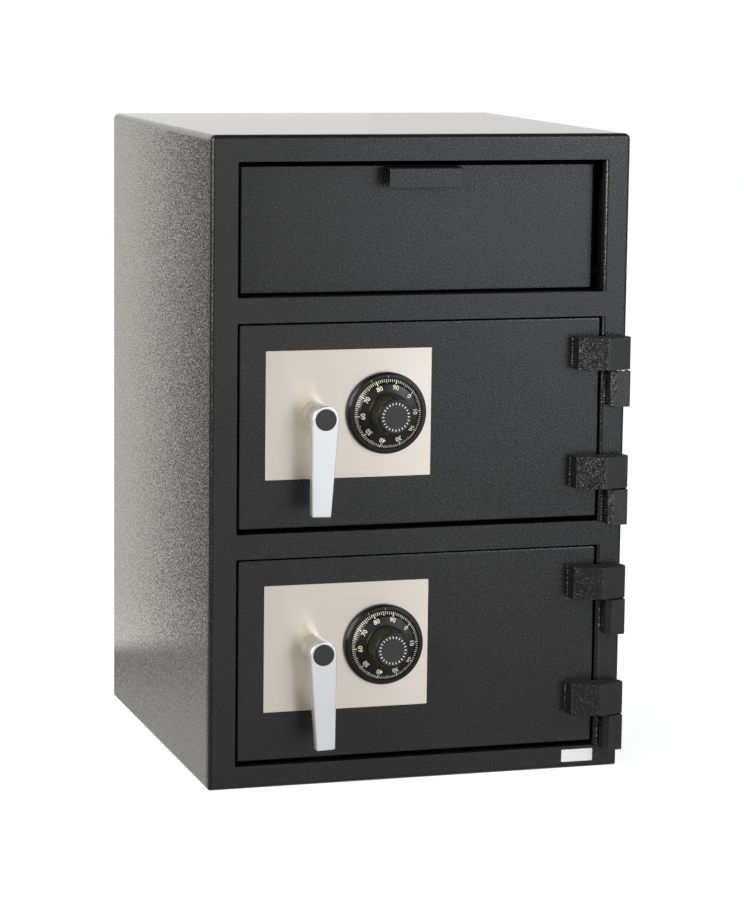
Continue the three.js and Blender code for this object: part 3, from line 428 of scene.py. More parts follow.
# Turned nickel of the lever hubs, with fine rings from the lathe.
hub_metal = grained(
    "hub_nickel", ((0.82, 0.79, 0.71), (0.88, 0.85, 0.78)), metallic=0.85,
    clouds={"scale": 30}, grain={"scale": 60, "detail": 1, "stretch": (0.2, 12, 0.2)},
    roughness=(0.24, 0.34), bump=0.001 * MM,
)
# Zinc plate on turned and cut steel: faint bluish and yellowish clouds, and tool marks.
zinc_plate = grained(
    "zinc_plated_steel", ((0.5, 0.52, 0.55), (0.62, 0.6, 0.54)), metallic=1.0,
    clouds={"scale": 18, "detail": 3}, grain={"scale": 90, "stretch": (0.3, 1, 4)},
    roughness=(0.26, 0.38), bump=0.006 * MM,
)
# Bare die casting of the lock cases.
die_casting = grained(
    "lock_casting", ((0.34, 0.33, 0.31), (0.45, 0.43, 0.4)), metallic=0.9,
    clouds={"scale": 25, "detail": 3}, grain={"scale": 350, "detail": 3}, roughness=(0.42, 0.58),
    bump=0.08 * MM,
)
# Brass of the lock bolts, faced with fine parallel marks.
faced_brass = grained(
    "lock_brass_bar", ((0.63, 0.45, 0.19), (0.74, 0.56, 0.27)), metallic=1.0, clouds={"scale": 30},
    grain={"scale": 150, "detail": 3, "stretch": (6, 1, 0.4)}, roughness=(0.22, 0.36), bump=0.02 * MM,
)
# Black enamel of the dials and their rings.
black_enamel = grained(
    "dial_enamel", ((0.0045, 0.0045, 0.005), (0.008, 0.008, 0.008)), specular=0.4,
    clouds={"scale": 40, "detail": 3}, grain={"scale": 700}, roughness=(0.22, 0.3), bump=0.02 * MM,
    rough_clouds=True,
)
# Brown-black moulded knob, with fine specks that are glossier.
knob_black = grained(
    "knob_black", ((0.01, 0.0085, 0.006), (0.036, 0.031, 0.021)),
    clouds={"scale": 900, "detail": 3}, grain={"scale": 900, "detail": 3}, roughness=(0.34, 0.22),
    bump=0.03 * MM,
)
# Matte black plastic of the lever inserts and dial caps.
black_plastic = grained(
    "insert_plastic", ((0.021, 0.021, 0.022), (0.027, 0.027, 0.028)), clouds={"scale": 60},
    grain={"scale": 1500}, roughness=(0.42, 0.52), bump=0.03 * MM,
)
FINISHES = {
    "painted_steel": front_coat,
    "brushed_plate": brushed_plate("brushed_steel_plate"),
    "satin_chrome": satin_metal,
    "bright_steel": zinc_plate,
    "dial_black": black_enamel,
    "black_insert": black_plastic,
    "lock_zinc": die_casting,
    "lock_brass": faced_brass,
}
cream = mark_paint("graduation_cream", (0.8, 0.77, 0.6), (0.92, 0.89, 0.73))
dull_gold = mark_paint("index_gold", (0.3, 0.27, 0.18), (0.42, 0.38, 0.26))
white = mark_paint("cap_white", (0.78, 0.78, 0.77), (0.88, 0.88, 0.87))
paper = label_paper("label_paper")


# Shading group for the solids: smooth faces, with an edge kept where two faces meet at an angle.
def soft_shading_group(limit):
    group = bpy.data.node_groups.new("soft_shading", "GeometryNodeTree")
    group.interface.new_socket("Geometry", in_out="INPUT", socket_type="NodeSocketGeometry")
    group.interface.new_socket("Geometry", in_out="OUTPUT", socket_type="NodeSocketGeometry")
    start = group.nodes.new("NodeGroupInput")
    end = group.nodes.new("NodeGroupOutput")
    faces = group.nodes.new("GeometryNodeSetShadeSmooth")
    edges = group.nodes.new("GeometryNodeSetShadeSmooth")
    edges.domain = "EDGE"
    angle = group.nodes.new("GeometryNodeInputMeshEdgeAngle")
    below = group.nodes.new("FunctionNodeCompare")
    below.operation = "LESS_THAN"
    below.inputs["B"].default_value = limit
    group.links.new(start.outputs["Geometry"], faces.inputs["Geometry"])
    group.links.new(faces.outputs["Geometry"], edges.inputs["Geometry"])
    group.links.new(angle.outputs["Unsigned Angle"], below.inputs["A"])
    group.links.new(below.outputs["Result"], edges.inputs["Shade Smooth"])
    group.links.new(edges.outputs["Geometry"], end.inputs["Geometry"])
    return group


SHARP_ANGLE = math.radians(38)
BEVEL_ANGLE = math.radians(50)
FLAT_ANGLE = math.radians(0.5)
WELD_DISTANCE = 0.002 * MM
PLANE_TOLERANCE = 0.03 * MM
EDGE_STEPS = 3
soft_shading = soft_shading_group(SHARP_ANGLE)


# Keeps a large flat face flat in shading where it meets a rounded edge.
def weigh_normals(piece):
    normals = piece.modifiers.new("normals", "WEIGHTED_NORMAL")
    normals.keep_sharp = True


# Welds a solid's triangles, rounds its sharp edges a little and shades it smooth.
def soften(piece, edge):
    weld = piece.modifiers.new("weld", "WELD")
    weld.merge_threshold = WELD_DISTANCE
    if edge:
        flats = piece.modifiers.new("flats", "DECIMATE")
        flats.decimate_type = "DISSOLVE"
        flats.angle_limit = FLAT_ANGLE
        bevel = piece.modifiers.new("edges", "BEVEL")
        bevel.width = edge
        bevel.segments = EDGE_STEPS
        bevel.limit_method = "ANGLE"
        bevel.angle_limit = BEVEL_ANGLE
        bevel.use_clamp_overlap = False
    shade = piece.modifiers.new("shade", "NODES")
    shade.node_group = soft_shading
    weigh_normals(piece)


EDGE_WIDTHS = {
    "leaf": 0.6 * MM,
    "knuckle": 0.6 * MM,
    "dead_bar": 0.8 * MM,
    "bolt_guide": 0.5 * MM,
    "drawer_pull": 0.5 * MM,
    "lock_bolt": 0.4 * MM,
}


def edge_width(node):
    for ending, width in EDGE_WIDTHS.items():
        if node.endswith(ending):
            return width
    return 0


SHEETS = ("case_wrap", "back_plate")
HINGE_BLOCKS = ("leaf", "knuckle")
INNER_STARTS = ("hopper_", "deposit_", "baffle_", "drawer_lintel", "drawer_sill", "divider_")


def finish_of(row):
    if row["node"] in SHEETS:
        return sheet_coat
    if row["node"].endswith(HINGE_BLOCKS):
        return HINGE_COATS[row["node"].split("_")[0] + "_" + row["node"].split("_")[-1]]
    # Painted parts inside the case get the coat whose colour is darkened as painted shade.
    if row["node"].startswith(INNER_STARTS) and row["material_slot"] == "painted_steel":
        return inner_painted_shade_coat
    return FINISHES[row["material_slot"]]


for row in frame["record"]["subparts"]:
    solid = frame["nodes"][row["node"]]
    solid.data.materials.clear()
    solid.data.materials.append(finish_of(row))
    soften(solid, edge_width(row["node"]))


# Makes one piece in the frame's coordinates, and puts it on its body.
def add_piece(name, mesh_builder, material, body):
    mesh = bpy.data.meshes.new(name)
    bmesh.ops.recalc_face_normals(mesh_builder, faces=mesh_builder.faces)
    mesh_builder.to_mesh(mesh)
    mesh_builder.free()
    mesh.materials.append(material)
    mesh.shade_smooth()
    mesh.set_sharp_from_angle(angle=SHARP_ANGLE)
    piece = bpy.data.objects.new(name, mesh)
    bpy.context.scene.collection.objects.link(piece)
    weigh_normals(piece)
    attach(piece, body)
    return piece


# A turned form in front of a plane. The profile gives radius, height and flute depth.
def turned(builder, profile, steps, centre, flutes=0):
    rings = []
    for radius, height, depth in profile:
        y = centre.y - height
        if radius == 0:
            rings.append([builder.verts.new((centre.x, y, centre.z))])
            continue
        ring = []
        for i in range(steps):
            angle = math.tau * i / steps
            reach = radius - depth * (0.5 - 0.5 * math.cos(flutes * angle))
            x = centre.x + reach * math.sin(angle)
            z = centre.z + reach * math.cos(angle)
            ring.append(builder.verts.new((x, y, z)))
        rings.append(ring)
    for low, high in zip(rings, rings[1:]):
        for i in range(steps):
            after = (i + 1) % steps
            corners = [low[i % len(low)], low[after % len(low)]]
            corners += [high[after % len(high)], high[i % len(high)]]
            builder.faces.new(list(dict.fromkeys(corners)))


def arc_points(centre, radius, start, end, steps=ARC_STEPS):
    points = []
    for i in range(steps + 1):
        angle = start + (end - start) * i / steps
        points.append((centre[0] + radius * math.cos(angle), centre[1] + radius * math.sin(angle)))
    return points


# A rectangle with rounded corners. The two low corners can have a radius of their own.
def rounded_outline(left, right, low, high, radius, foot=None):
    quarter = math.pi / 2
    foot = radius if foot is None else foot
    corners = [
        (right - foot, low + foot, foot),
        (right - radius, high - radius, radius),
        (left + radius, high - radius, radius),
        (left + foot, low + foot, foot),
    ]
    points = []
    for i, (x, y, reach) in enumerate(corners):
        points += arc_points((x, y), reach, (i - 1) * quarter, i * quarter, CORNER_STEPS)
    return points


# A closed form through rings of points, with a flat face at each end.
def lofted(builder, rings):
    loops = [[builder.verts.new(point) for point in ring] for ring in rings]
    for low, high in zip(loops, loops[1:]):
        for i in range(len(low)):
            after = (i + 1) % len(low)
            builder.faces.new((low[i], high[i], high[after], low[after]))
    builder.faces.new(loops[0])
    builder.faces.new(loops[-1][::-1])


# A closed band through loops of points, with the last loop joined to the first.
def closed_ring(builder, rings):
    loops = [[builder.verts.new(point) for point in ring] for ring in rings]
    for first, second in zip(loops, loops[1:] + loops[:1]):
        for i in range(len(first)):
            after = (i + 1) % len(first)
            builder.faces.new((first[i], second[i], second[after], first[after]))


# A flat form: its outline lies in X and Z, and it runs from near to far along Y.
def slab(builder, outline, near, far):
    lofted(builder, [[(x, y, z) for x, z in outline] for y in (near, far)])


# A flat form with its near edge rounded. Its outline depends on how far it is drawn in.
def rounded_slab(builder, outline, near, far, rounding, steps):
    rings = []
    for i in range(steps + 1):
        angle = math.pi / 2 * i / steps
        drawn_in = rounding * (1 - math.sin(angle))
        y = near + rounding * (1 - math.cos(angle))
        rings.append([(x, y, z) for x, z in outline(drawn_in)])
    rings.append([(x, far, z) for x, _, z in rings[-1]])
    lofted(builder, rings)


# Rounds the sharp edges that lie in one plane of Y and left of a limit.
def round_edges(builder, y, width, steps, right_limit=math.inf):
    edges = []
    for edge in builder.edges:
        in_plane = all(abs(v.co.y - y) < PLANE_TOLERANCE and v.co.x < right_limit for v in edge.verts)
        if in_plane and edge.calc_face_angle(0) > BEVEL_ANGLE:
            edges.append(edge)
    bmesh.ops.bevel(
        builder, geom=edges, offset=width, segments=steps, profile=0.5, affect="EDGES",
        clamp_overlap=True,
    )


def middle_of(node):
    low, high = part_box(node)
    return (Vector(low) + Vector(high)) / 2


def front_of(node):
    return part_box(node)[0][1]


def back_of(node):
    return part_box(node)[1][1]


# The dial's face as a function of radius: a sloped rim and then a nearly flat face.
def dial_height(radius):
    if radius > DIAL_CONE_RADIUS:
        share = (DIAL_RADIUS - radius) / (DIAL_RADIUS - DIAL_CONE_RADIUS)
        return DIAL_RIM_HEIGHT + share * (DIAL_CONE_HEIGHT - DIAL_RIM_HEIGHT)
    share = (DIAL_CONE_RADIUS - radius) / (DIAL_CONE_RADIUS - KNOB_FLANGE_RADIUS)
    return DIAL_CONE_HEIGHT + share * (DIAL_THICKNESS - DIAL_CONE_HEIGHT)


# Dial with its spindle, and the fluted knob on it.
def make_dial(door):
    crown = DIAL_THICKNESS + KNOB_HEIGHT
    grip = DIAL_THICKNESS + KNOB_FLANGE_HEIGHT
    edge = DIAL_RIM_EDGE
    node = f"{door}_dial"
    body = f"{door}_dial_body"
    place = middle_of(node)
    place.y = front_of(node) + crown
    spindle_end = place.y - back_of(node)
    builder = bmesh.new()
    turned(builder, [
        (0, spindle_end, 0),
        (SPINDLE_RADIUS, spindle_end, 0),
        (SPINDLE_RADIUS, 0, 0),
        (DIAL_RADIUS - edge, 0, 0),
        (DIAL_RADIUS, edge, 0),
        (DIAL_RADIUS, DIAL_RIM_HEIGHT - edge, 0),
        (DIAL_RADIUS - edge, dial_height(DIAL_RADIUS - edge), 0),
        (DIAL_CONE_RADIUS + edge, dial_height(DIAL_CONE_RADIUS + edge), 0),
        (DIAL_CONE_RADIUS - edge, dial_height(DIAL_CONE_RADIUS - edge), 0),
        (KNOB_FLANGE_RADIUS + edge, dial_height(KNOB_FLANGE_RADIUS + edge), 0),
        (KNOB_FLANGE_RADIUS, DIAL_THICKNESS + edge / 2, 0),
        (KNOB_FLANGE_RADIUS, grip - edge, 0),
        (KNOB_FLANGE_RADIUS - edge, grip, 0),
        (0, grip, 0),
    ], RING_STEPS, place)
    dial = add_piece(f"{door}_dial_disc", builder, black_enamel, body)
    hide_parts(node)
    neck = crown - KNOB_NECK_SHARE * KNOB_EDGE
    builder = bmesh.new()
    turned(builder, [
        (0, grip - edge, 0),
        (KNOB_BASE_RADIUS, grip - edge, 0),
        (KNOB_BASE_RADIUS, grip + edge, FLUTE_DEPTH),
        (KNOB_TOP_RADIUS, neck, FLUTE_DEPTH),
        (0, neck, 0),
    ], FLUTE_COUNT * FLUTE_STEPS, place, FLUTE_COUNT)
    add_piece(f"{door}_knob_grip", builder, knob_black, body)
    builder = bmesh.new()
    turned(builder, [
        (0, neck, 0),
        (KNOB_TOP_RADIUS - edge, neck, 0),
        *((KNOB_TOP_RADIUS - x * KNOB_EDGE, crown - y * KNOB_EDGE, 0) for x, y in KNOB_ROUND_SHARES),
        (KNOB_CAP_SEAT, crown, 0),
        (KNOB_CAP_SEAT, crown - KNOB_CAP_DEPTH, 0),
        (0, crown - KNOB_CAP_DEPTH, 0),
    ], RING_STEPS, place)
    add_piece(f"{door}_knob_crown", builder, black_enamel, body)
    return place


# A turn about Y, clockwise as seen from the front.
def clockwise(angle):
    return Matrix.Rotation(angle, 4, "Y")


# Places a form drawn at the top of the dial at an angle round it.
def on_dial(place, angle):
    return Matrix.Translation(place) @ clockwise(angle)


def add_box(builder, corners_low, corners_high, matrix):
    result = bmesh.ops.create_cube(builder, size=1)
    low = Vector(corners_low)
    high = Vector(corners_high)
    size = high - low
    fit = Matrix.Translation((low + high) / 2) @ Matrix.Diagonal((*size, 1))
    bmesh.ops.transform(builder, matrix=matrix @ fit, verts=result["verts"])


# One graduation on the sloped rim.
def add_tick(builder, place, angle, length, width):
    slope = math.atan2(DIAL_CONE_HEIGHT - DIAL_RIM_HEIGHT, DIAL_RADIUS - DIAL_CONE_RADIUS)
    band = (DIAL_RADIUS - DIAL_CONE_RADIUS) / math.cos(slope)
    foot = Matrix.Translation((0, -DIAL_RIM_HEIGHT, DIAL_RADIUS))
    lean = Matrix.Rotation(-slope, 4, "X")
    low = (-width / 2, -PAINT_THICKNESS, -band * (TICK_OUTER_SHARE + length))
    high = (width / 2, PAINT_THICKNESS, -band * TICK_OUTER_SHARE)
    add_box(builder, low, high, on_dial(place, angle) @ foot @ lean)


def add_number(builder, place, angle, value):
    text = bpy.data.curves.new("number", "FONT")
    text.body = str(value)
    text.size = NUMBER_SIZE
    text.align_x = "CENTER"
    text.align_y = "CENTER"
    text.extrude = PAINT_THICKNESS
    text.resolution_u = 3
    text.offset = NUMBER_BOLDNESS
    holder = bpy.data.objects.new("number", text)
    mesh = bpy.data.meshes.new_from_object(holder)
    face_lean = math.atan2(DIAL_THICKNESS - DIAL_CONE_HEIGHT, DIAL_CONE_RADIUS - KNOB_FLANGE_RADIUS)
    upright = Matrix.Rotation(math.pi / 2 - face_lean, 4, "X")
    foot = Matrix.Translation((0, -dial_height(NUMBER_RADIUS), NUMBER_RADIUS))
    mesh.transform(on_dial(place, angle) @ foot @ upright)
    builder.from_mesh(mesh)
    bpy.data.objects.remove(holder)
    bpy.data.curves.remove(text)
    bpy.data.meshes.remove(mesh)


def make_graduations(door, place):
    builder = bmesh.new()
    for i in range(DIAL_DIVISIONS):
        angle = DIAL_TURN_AT_REST + math.tau * i / DIAL_DIVISIONS
        if i % DIAL_NUMBER_STEP == 0:
            add_tick(builder, place, angle, TICK_LONG_SHARE, TICK_WIDE)
            add_number(builder, place, angle, i)
        elif i % DIAL_MIDDLE_STEP == 0:
            add_tick(builder, place, angle, TICK_MIDDLE_SHARE, TICK_WIDTH)
        else:
            add_tick(builder, place, angle, TICK_SHORT_SHARE, TICK_WIDTH)
    add_piece(f"{door}_dial_graduations", builder, cream, f"{door}_dial_body")


# The cap carries a plain ring of marks.
def make_cap_marks(door):
    place = middle_of(f"{door}_dial_cap")
    place.y = front_of(f"{door}_dial_cap")
    builder = bmesh.new()
    for i in range(CAP_MARK_COUNT):
        low = (-CAP_MARK_WIDTH / 2, -PAINT_THICKNESS, CAP_MARK_INNER)
        high = (CAP_MARK_WIDTH / 2, PAINT_THICKNESS, CAP_MARK_OUTER)
        add_box(builder, low, high, on_dial(place, math.tau * i / CAP_MARK_COUNT))
    add_piece(f"{door}_cap_marks", builder, white, f"{door}_dial_body")


def make_ring(door):
    node = f"{door}_dial_ring"
    place = middle_of(node)
    place.y = back_of(node)
    edge = DIAL_RIM_EDGE
    profile = [
        (RING_BORE, 0, 0),
        (RING_RADIUS, 0, 0),
        *((RING_RADIUS - drawn_in, height, 0) for drawn_in, height in RING_SHOULDER),
        (RING_RADIUS - RING_LAND, RING_HEIGHT, 0),
        (RING_SEAT + edge, RING_HEIGHT, 0),
        (RING_SEAT, RING_HEIGHT - edge, 0),
        (RING_SEAT, RING_FLOOR, 0),
        (RING_BORE, RING_FLOOR, 0),
        (RING_BORE, 0, 0),
    ]
    builder = bmesh.new()
    turned(builder, profile, RING_STEPS, place)
    bmesh.ops.remove_doubles(builder, verts=builder.verts, dist=WELD_DISTANCE)
    ring = add_piece(f"{door}_index_ring", builder, black_enamel, f"{door}_door_body")
    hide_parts(node)
    marks = bmesh.new()
    for angle in (0, INDEX_SIDE_ANGLE):
        low = (-INDEX_WIDTH / 2, -RING_HEIGHT - PAINT_THICKNESS, RING_SEAT + edge)
        high = (INDEX_WIDTH / 2, -RING_HEIGHT + PAINT_THICKNESS, RING_SEAT + edge + INDEX_LENGTH)
        add_box(marks, low, high, on_dial(place, angle))
    add_piece(f"{door}_index_marks", marks, dull_gold, f"{door}_door_body")


# The lever's outline, hanging from its head, which is at the origin.
def lever_outline(drawn_in):
    half = LEVER_END_WIDTH / 2 - drawn_in
    radius = LEVER_HEAD_RADIUS - drawn_in
    taper = math.asin((radius - half) / LEVER_LENGTH)
    corner = max(LEVER_END_CORNER - drawn_in, SMALLEST_CORNER)
    low = corner + drawn_in - LEVER_LENGTH
    points = arc_points((0, 0), radius, -taper, math.pi + taper, 2 * ARC_STEPS)
    steps = LEVER_CORNER_STEPS
    points += arc_points((corner - half, low), corner, math.pi + taper, math.pi * 1.5, steps)
    points += arc_points((half - corner, low), corner, -math.pi / 2, -taper, steps)
    return points


# One closed form, with the cutters taken away from it.
def carved(form, cutters):
    holders = []
    for builder in [form, *cutters]:
        mesh = bpy.data.meshes.new("form")
        bmesh.ops.recalc_face_normals(builder, faces=builder.faces)
        builder.to_mesh(mesh)
        builder.free()
        holder = bpy.data.objects.new("form", mesh)
        bpy.context.scene.collection.objects.link(holder)
        holders.append(holder)
    base = holders[0]
    for other in holders[1:]:
        step = base.modifiers.new("cut", "BOOLEAN")
        step.operation = "DIFFERENCE"
        step.solver = "EXACT"
        step.object = other
    depsgraph = bpy.context.evaluated_depsgraph_get()
    result = bmesh.new()
    result.from_object(base, depsgraph)
    for holder in holders:
        bpy.data.meshes.remove(holder.data)
    return result


def make_lever(door):
    node = f"{door}_lever"
    body = f"{door}_lever_body"
    insert = middle_of(f"{door}_lever_insert")
    near = front_of(node)
    far = back_of(node)
    place = Vector((insert.x, 0, insert.z))
    lean = Matrix.Translation(place) @ clockwise(LEVER_LEANS[door])
    bar = bmesh.new()
    rounded_slab(bar, lever_outline, near, near + LEVER_THICKNESS, LEVER_EDGE, LEVER_EDGE_STEPS)
    round_edges(bar, near + LEVER_THICKNESS, LEVER_BACK_EDGE, LEVER_BACK_EDGE_STEPS)
    hub = bmesh.new()
    hub_height = far - near - LEVER_THICKNESS
    turned(hub, [
        (0, 0, 0),
        (HUB_FOOT_RADIUS, 0, 0),
        (HUB_FOOT_RADIUS, HUB_FOOT_HEIGHT, 0),
        (HUB_RADIUS - HUB_SEAM, HUB_FOOT_HEIGHT, 0),
        (HUB_RADIUS - HUB_SEAM, HUB_FOOT_HEIGHT + HUB_SEAM, 0),
        (HUB_RADIUS, HUB_FOOT_HEIGHT + HUB_SEAM, 0),
        (HUB_RADIUS, hub_height, 0),
        (0, hub_height, 0),
    ], 3 * ARC_STEPS, Vector((place.x, far, place.z)))
    add_piece(f"{door}_lever_hub", hub, hub_metal, body)
    seat = bmesh.new()
    turned(seat, [
        (0, 0, 0),
        (INSERT_RADIUS + FIT_GAP, 0, 0),
        (INSERT_RADIUS + FIT_GAP, INSERT_DEPTH * 2, 0),
        (0, INSERT_DEPTH * 2, 0),
    ], 2 * ARC_STEPS, Vector((0, near + INSERT_DEPTH + FIT_GAP, 0)))
    builder = carved(bar, [seat])
    bmesh.ops.transform(builder, matrix=lean, verts=builder.verts)
    lever = add_piece(f"{door}_lever_handle", builder, satin_metal, body)
    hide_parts(node)


# A weld bead: a tube along a seam, swollen at each ripple and pinched at its ends.
def add_bead(builder, start, end, radius, seed):
    start = Vector(start)
    axis = Vector(end) - start
    length = axis.length
    axis.normalize()
    side = axis.orthogonal().normalized()
    other = axis.cross(side)
    count = max(4, round(length / BEAD_STEP))
    rings = []
    for i in range(count + 1):
        along = length * i / count
        ripple = abs(math.sin(math.pi * along / BEAD_PITCH + seed))
        wander = math.sin(along / BEAD_WANDER + 3 * seed)
        swell = 1 - BEAD_RIPPLE * (1 - ripple) + BEAD_RIPPLE * wander / 2
        fade = min(1, (along + BEAD_STEP / 2) / radius, (length - along + BEAD_STEP / 2) / radius)
        reach = radius * swell * math.sqrt(fade)
        middle = start + axis * along + side * (wander * radius * BEAD_RIPPLE / 2)
        ring = []
        for j in range(BEAD_SIDES):
            angle = math.tau * j / BEAD_SIDES
            spoke = side * math.cos(angle) + other * math.sin(angle)
            ring.append(builder.verts.new(middle + spoke * reach))
        rings.append(ring)
    for low, high in zip(rings, rings[1:]):
        for j in range(BEAD_SIDES):
            after = (j + 1) % BEAD_SIDES
            builder.faces.new((low[j], low[after], high[after], high[j]))
    builder.faces.new(rings[0][::-1])
    builder.faces.new(rings[-1])


# One upright bead, on the face of what carries the hinge block.
def make_welds(name, place, length_ends, radius, body, seed):
    left, face = place
    low, high = length_ends
    builder = bmesh.new()
    start, end = (left, face, low + BEAD_INSET), (left, face, high - BEAD_INSET)
    add_bead(builder, start, end, radius, seed)
    add_piece(name, builder, weld_coat, body)


# A leaf's bead lies on its door, and a knuckle's thicker one on the frame, a little off the block.
def make_hinge_welds(door, place, seed):
    low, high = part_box(f"{door}_{place}_leaf")
    on_door = (low[0], front_of(f"{door}_door"))
    body = f"{door}_door_body"
    make_welds(f"{door}_{place}_leaf_welds", on_door, (low[2], high[2]), BEAD_RADIUS, body, seed)
    low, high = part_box(f"{door}_{place}_knuckle")
    on_frame = (low[0] - KNUCKLE_BEAD_REACH, front_of("front_frame"))
    seed += len(HINGES)
    make_welds(
        f"{door}_{place}_knuckle_welds", on_frame, (low[2], high[2]), KNUCKLE_BEAD_RADIUS, "case", seed,
    )


# The four screws of a lock case's cover, each with a round recess.
def make_cover_screws(door):
    low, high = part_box(f"{door}_lock_case")
    inset = SCREW_INSET
    builder = bmesh.new()
    for x in (low[0] + inset, high[0] - inset):
        for z in (low[2] + inset, high[2] - inset):
            turned(builder, [
                (0, SCREW_RECESS, 0),
                (SCREW_RECESS_RADIUS, SCREW_RECESS, 0),
                (SCREW_RECESS_RADIUS, 0, 0),
                (SCREW_RADIUS - SCREW_EDGE, 0, 0),
                (SCREW_RADIUS, SCREW_EDGE, 0),
                (SCREW_RADIUS, SCREW_HEIGHT + FIT_GAP, 0),
                (0, SCREW_HEIGHT + FIT_GAP, 0),
            ], ARC_STEPS, Vector((x, high[1] + SCREW_HEIGHT, z)))
    add_piece(f"{door}_cover_screws", builder, zinc_plate, f"{door}_door_body")


# A plain washer that fills the slit between a leaf and its knuckle.
def make_washer(door, place):
    leaf_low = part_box(f"{door}_{place}_leaf")[0]
    knuckle_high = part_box(f"{door}_{place}_knuckle")[1]
    pin = middle_of(f"{door}_{place}_hinge_pin")
    builder = bmesh.new()
    rings = []
    for z in (knuckle_high[2] + WASHER_PLAY, leaf_low[2] - WASHER_PLAY):
        outline = arc_points((pin.x, pin.y), WASHER_RADIUS, 0, math.tau, 2 * ARC_STEPS)[:-1]
        inside = arc_points((pin.x, pin.y), WASHER_BORE, 0, math.tau, 2 * ARC_STEPS)[:-1]
        rings.append(([(x, y, z) for x, y in outline], [(x, y, z) for x, y in inside]))
    (outer_low, inner_low), (outer_high, inner_high) = rings
    closed_ring(builder, [outer_low, outer_high, inner_high, inner_low])
    # The washer takes the inner coat, whose colour is darkened as painted shade.
    add_piece(f"{door}_{place}_washer", builder, inner_painted_shade_coat, "case")


# The frame's outline, less rounded at the foot.
def frame_outline(drawn_in):
    low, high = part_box("front_frame")
    return rounded_outline(
        low[0] + drawn_in, high[0] - drawn_in, low[2] + drawn_in, high[2] - drawn_in,
        max(FRAME_CORNER - drawn_in, SMALLEST_CORNER),
        max(FRAME_FOOT_CORNER - drawn_in, SMALLEST_CORNER),
    )


# Front frame: a thick plate with its outer edge well rounded and three windows cut through it.
def make_frame():
    node = "front_frame"
    near, far = front_of(node), back_of(node)
    plate = bmesh.new()
    rounded_slab(plate, frame_outline, near, far, FRAME_ROUNDING, FRAME_ROUND_STEPS)
    windows = [(DRAWER_WINDOW_RIGHT, *DRAWER_WINDOW)]
    windows += [(WINDOW_RIGHT, *window) for window in DOOR_WINDOWS.values()]
    cutters = []
    for right, bottom, top in windows:
        cutter = bmesh.new()
        outline = rounded_outline(WINDOW_LEFT, right, bottom, top, WINDOW_CORNER)
        slab(cutter, outline, near - FRAME_CORNER, far + FRAME_CORNER)
        cutters.append(cutter)
    builder = carved(plate, cutters)
    round_edges(builder, near, WINDOW_EDGE, WINDOW_EDGE_STEPS, DRAWER_WINDOW_RIGHT - WINDOW_CORNER)
    piece = add_piece("rounded_front_frame", builder, front_coat, "case")
    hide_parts(node)


# A rolled lip along a right jamb, in stretches: a quarter round that runs back to a given depth.
def make_lip(name, right, radius, far, stretches):
    face = front_of("front_frame")
    profile = arc_points((right, face + radius), radius, -math.pi / 2, -math.pi, LIP_STEPS)
    if far > face + radius:
        profile.append((right - radius, far))
    profile.append((right, far))
    builder = bmesh.new()
    for low, high in stretches:
        lofted(builder, [[(x, y, z) for x, y in profile] for z in (low, high)])
    add_piece(name, builder, lip_coat, "case")


# The lip beside a door leaves room for the hinge leaves.
def door_lip_stretches(door):
    bottom, top = DOOR_WINDOWS[door]
    stops = [bottom + LIP_GAP]
    for place in reversed(HINGES):
        low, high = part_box(f"{door}_{place}_leaf")
        stops += [low[2] - LIP_GAP, high[2] + LIP_GAP]
    stops.append(top - LIP_GAP)
    return list(zip(stops[::2], stops[1::2]))


def make_lips():
    bottom, top = DRAWER_WINDOW
    make_lip(
        "drawer_jamb_lip", DRAWER_WINDOW_RIGHT, DRAWER_LIP_RADIUS, back_of("front_frame"),
        [(bottom + LIP_GAP, top - LIP_GAP)],
    )
    far = front_of("front_frame") + LIP_RADIUS
    for door in DOORS:
        make_lip(f"{door}_jamb_lip", WINDOW_RIGHT, LIP_RADIUS, far, door_lip_stretches(door))


def make_label():
    face = front_of("front_frame")
    builder = bmesh.new()
    outline = rounded_outline(LABEL_LEFT, LABEL_RIGHT, LABEL_LOW, LABEL_HIGH, LABEL_CORNER)
    slab(builder, outline, face - LABEL_THICKNESS, face + LABEL_THICKNESS)
    add_piece("blank_label", builder, paper, "case")


for door in DOORS:
    dial_place = make_dial(door)
    make_graduations(door, dial_place)
    make_cap_marks(door)
    make_ring(door)
    make_lever(door)
    make_cover_screws(door)
    for seed, place in enumerate(HINGES):
        make_hinge_welds(door, place, seed)
        if (door, place) != ("upper", "top"):
            make_washer(door, place)
make_frame()
make_lips()
make_label()

# Floor
FLOOR_SIZE = 14.0
FLOOR_GLOW = 0.64
FLOOR_COLOUR = (0.82, 0.82, 0.82, 1)
FLOOR_ROUGHNESS = 0.9


def make_floor():
    builder = bmesh.new()
    half = FLOOR_SIZE / 2
    corners = [(-half, -half, 0), (half, -half, 0), (half, half, 0), (-half, half, 0)]
    builder.faces.new([builder.verts.new(corner) for corner in corners])
    mesh = bpy.data.meshes.new("floor")
    builder.to_mesh(mesh)
    builder.free()
    material, tree, shader = new_material("pale_floor")
    shader.inputs["Base Color"].default_value = FLOOR_COLOUR
    shader.inputs["Roughness"].default_value = FLOOR_ROUGHNESS
    shader.inputs["Specular IOR Level"].default_value = 0
    shader.inputs["Emission Color"].default_value = (1, 1, 1, 1)
    path = tree.nodes.new("ShaderNodeLightPath")
    glow = ranged(tree, path.outputs["Is Camera Ray"], 0, FLOOR_GLOW, 0, 1)
    tree.links.new(glow, shader.inputs["Emission Strength"])
    mesh.materials.append(material)
    floor = bpy.data.objects.new("floor", mesh)
    bpy.context.scene.collection.objects.link(floor)
    floor.visible_glossy = False


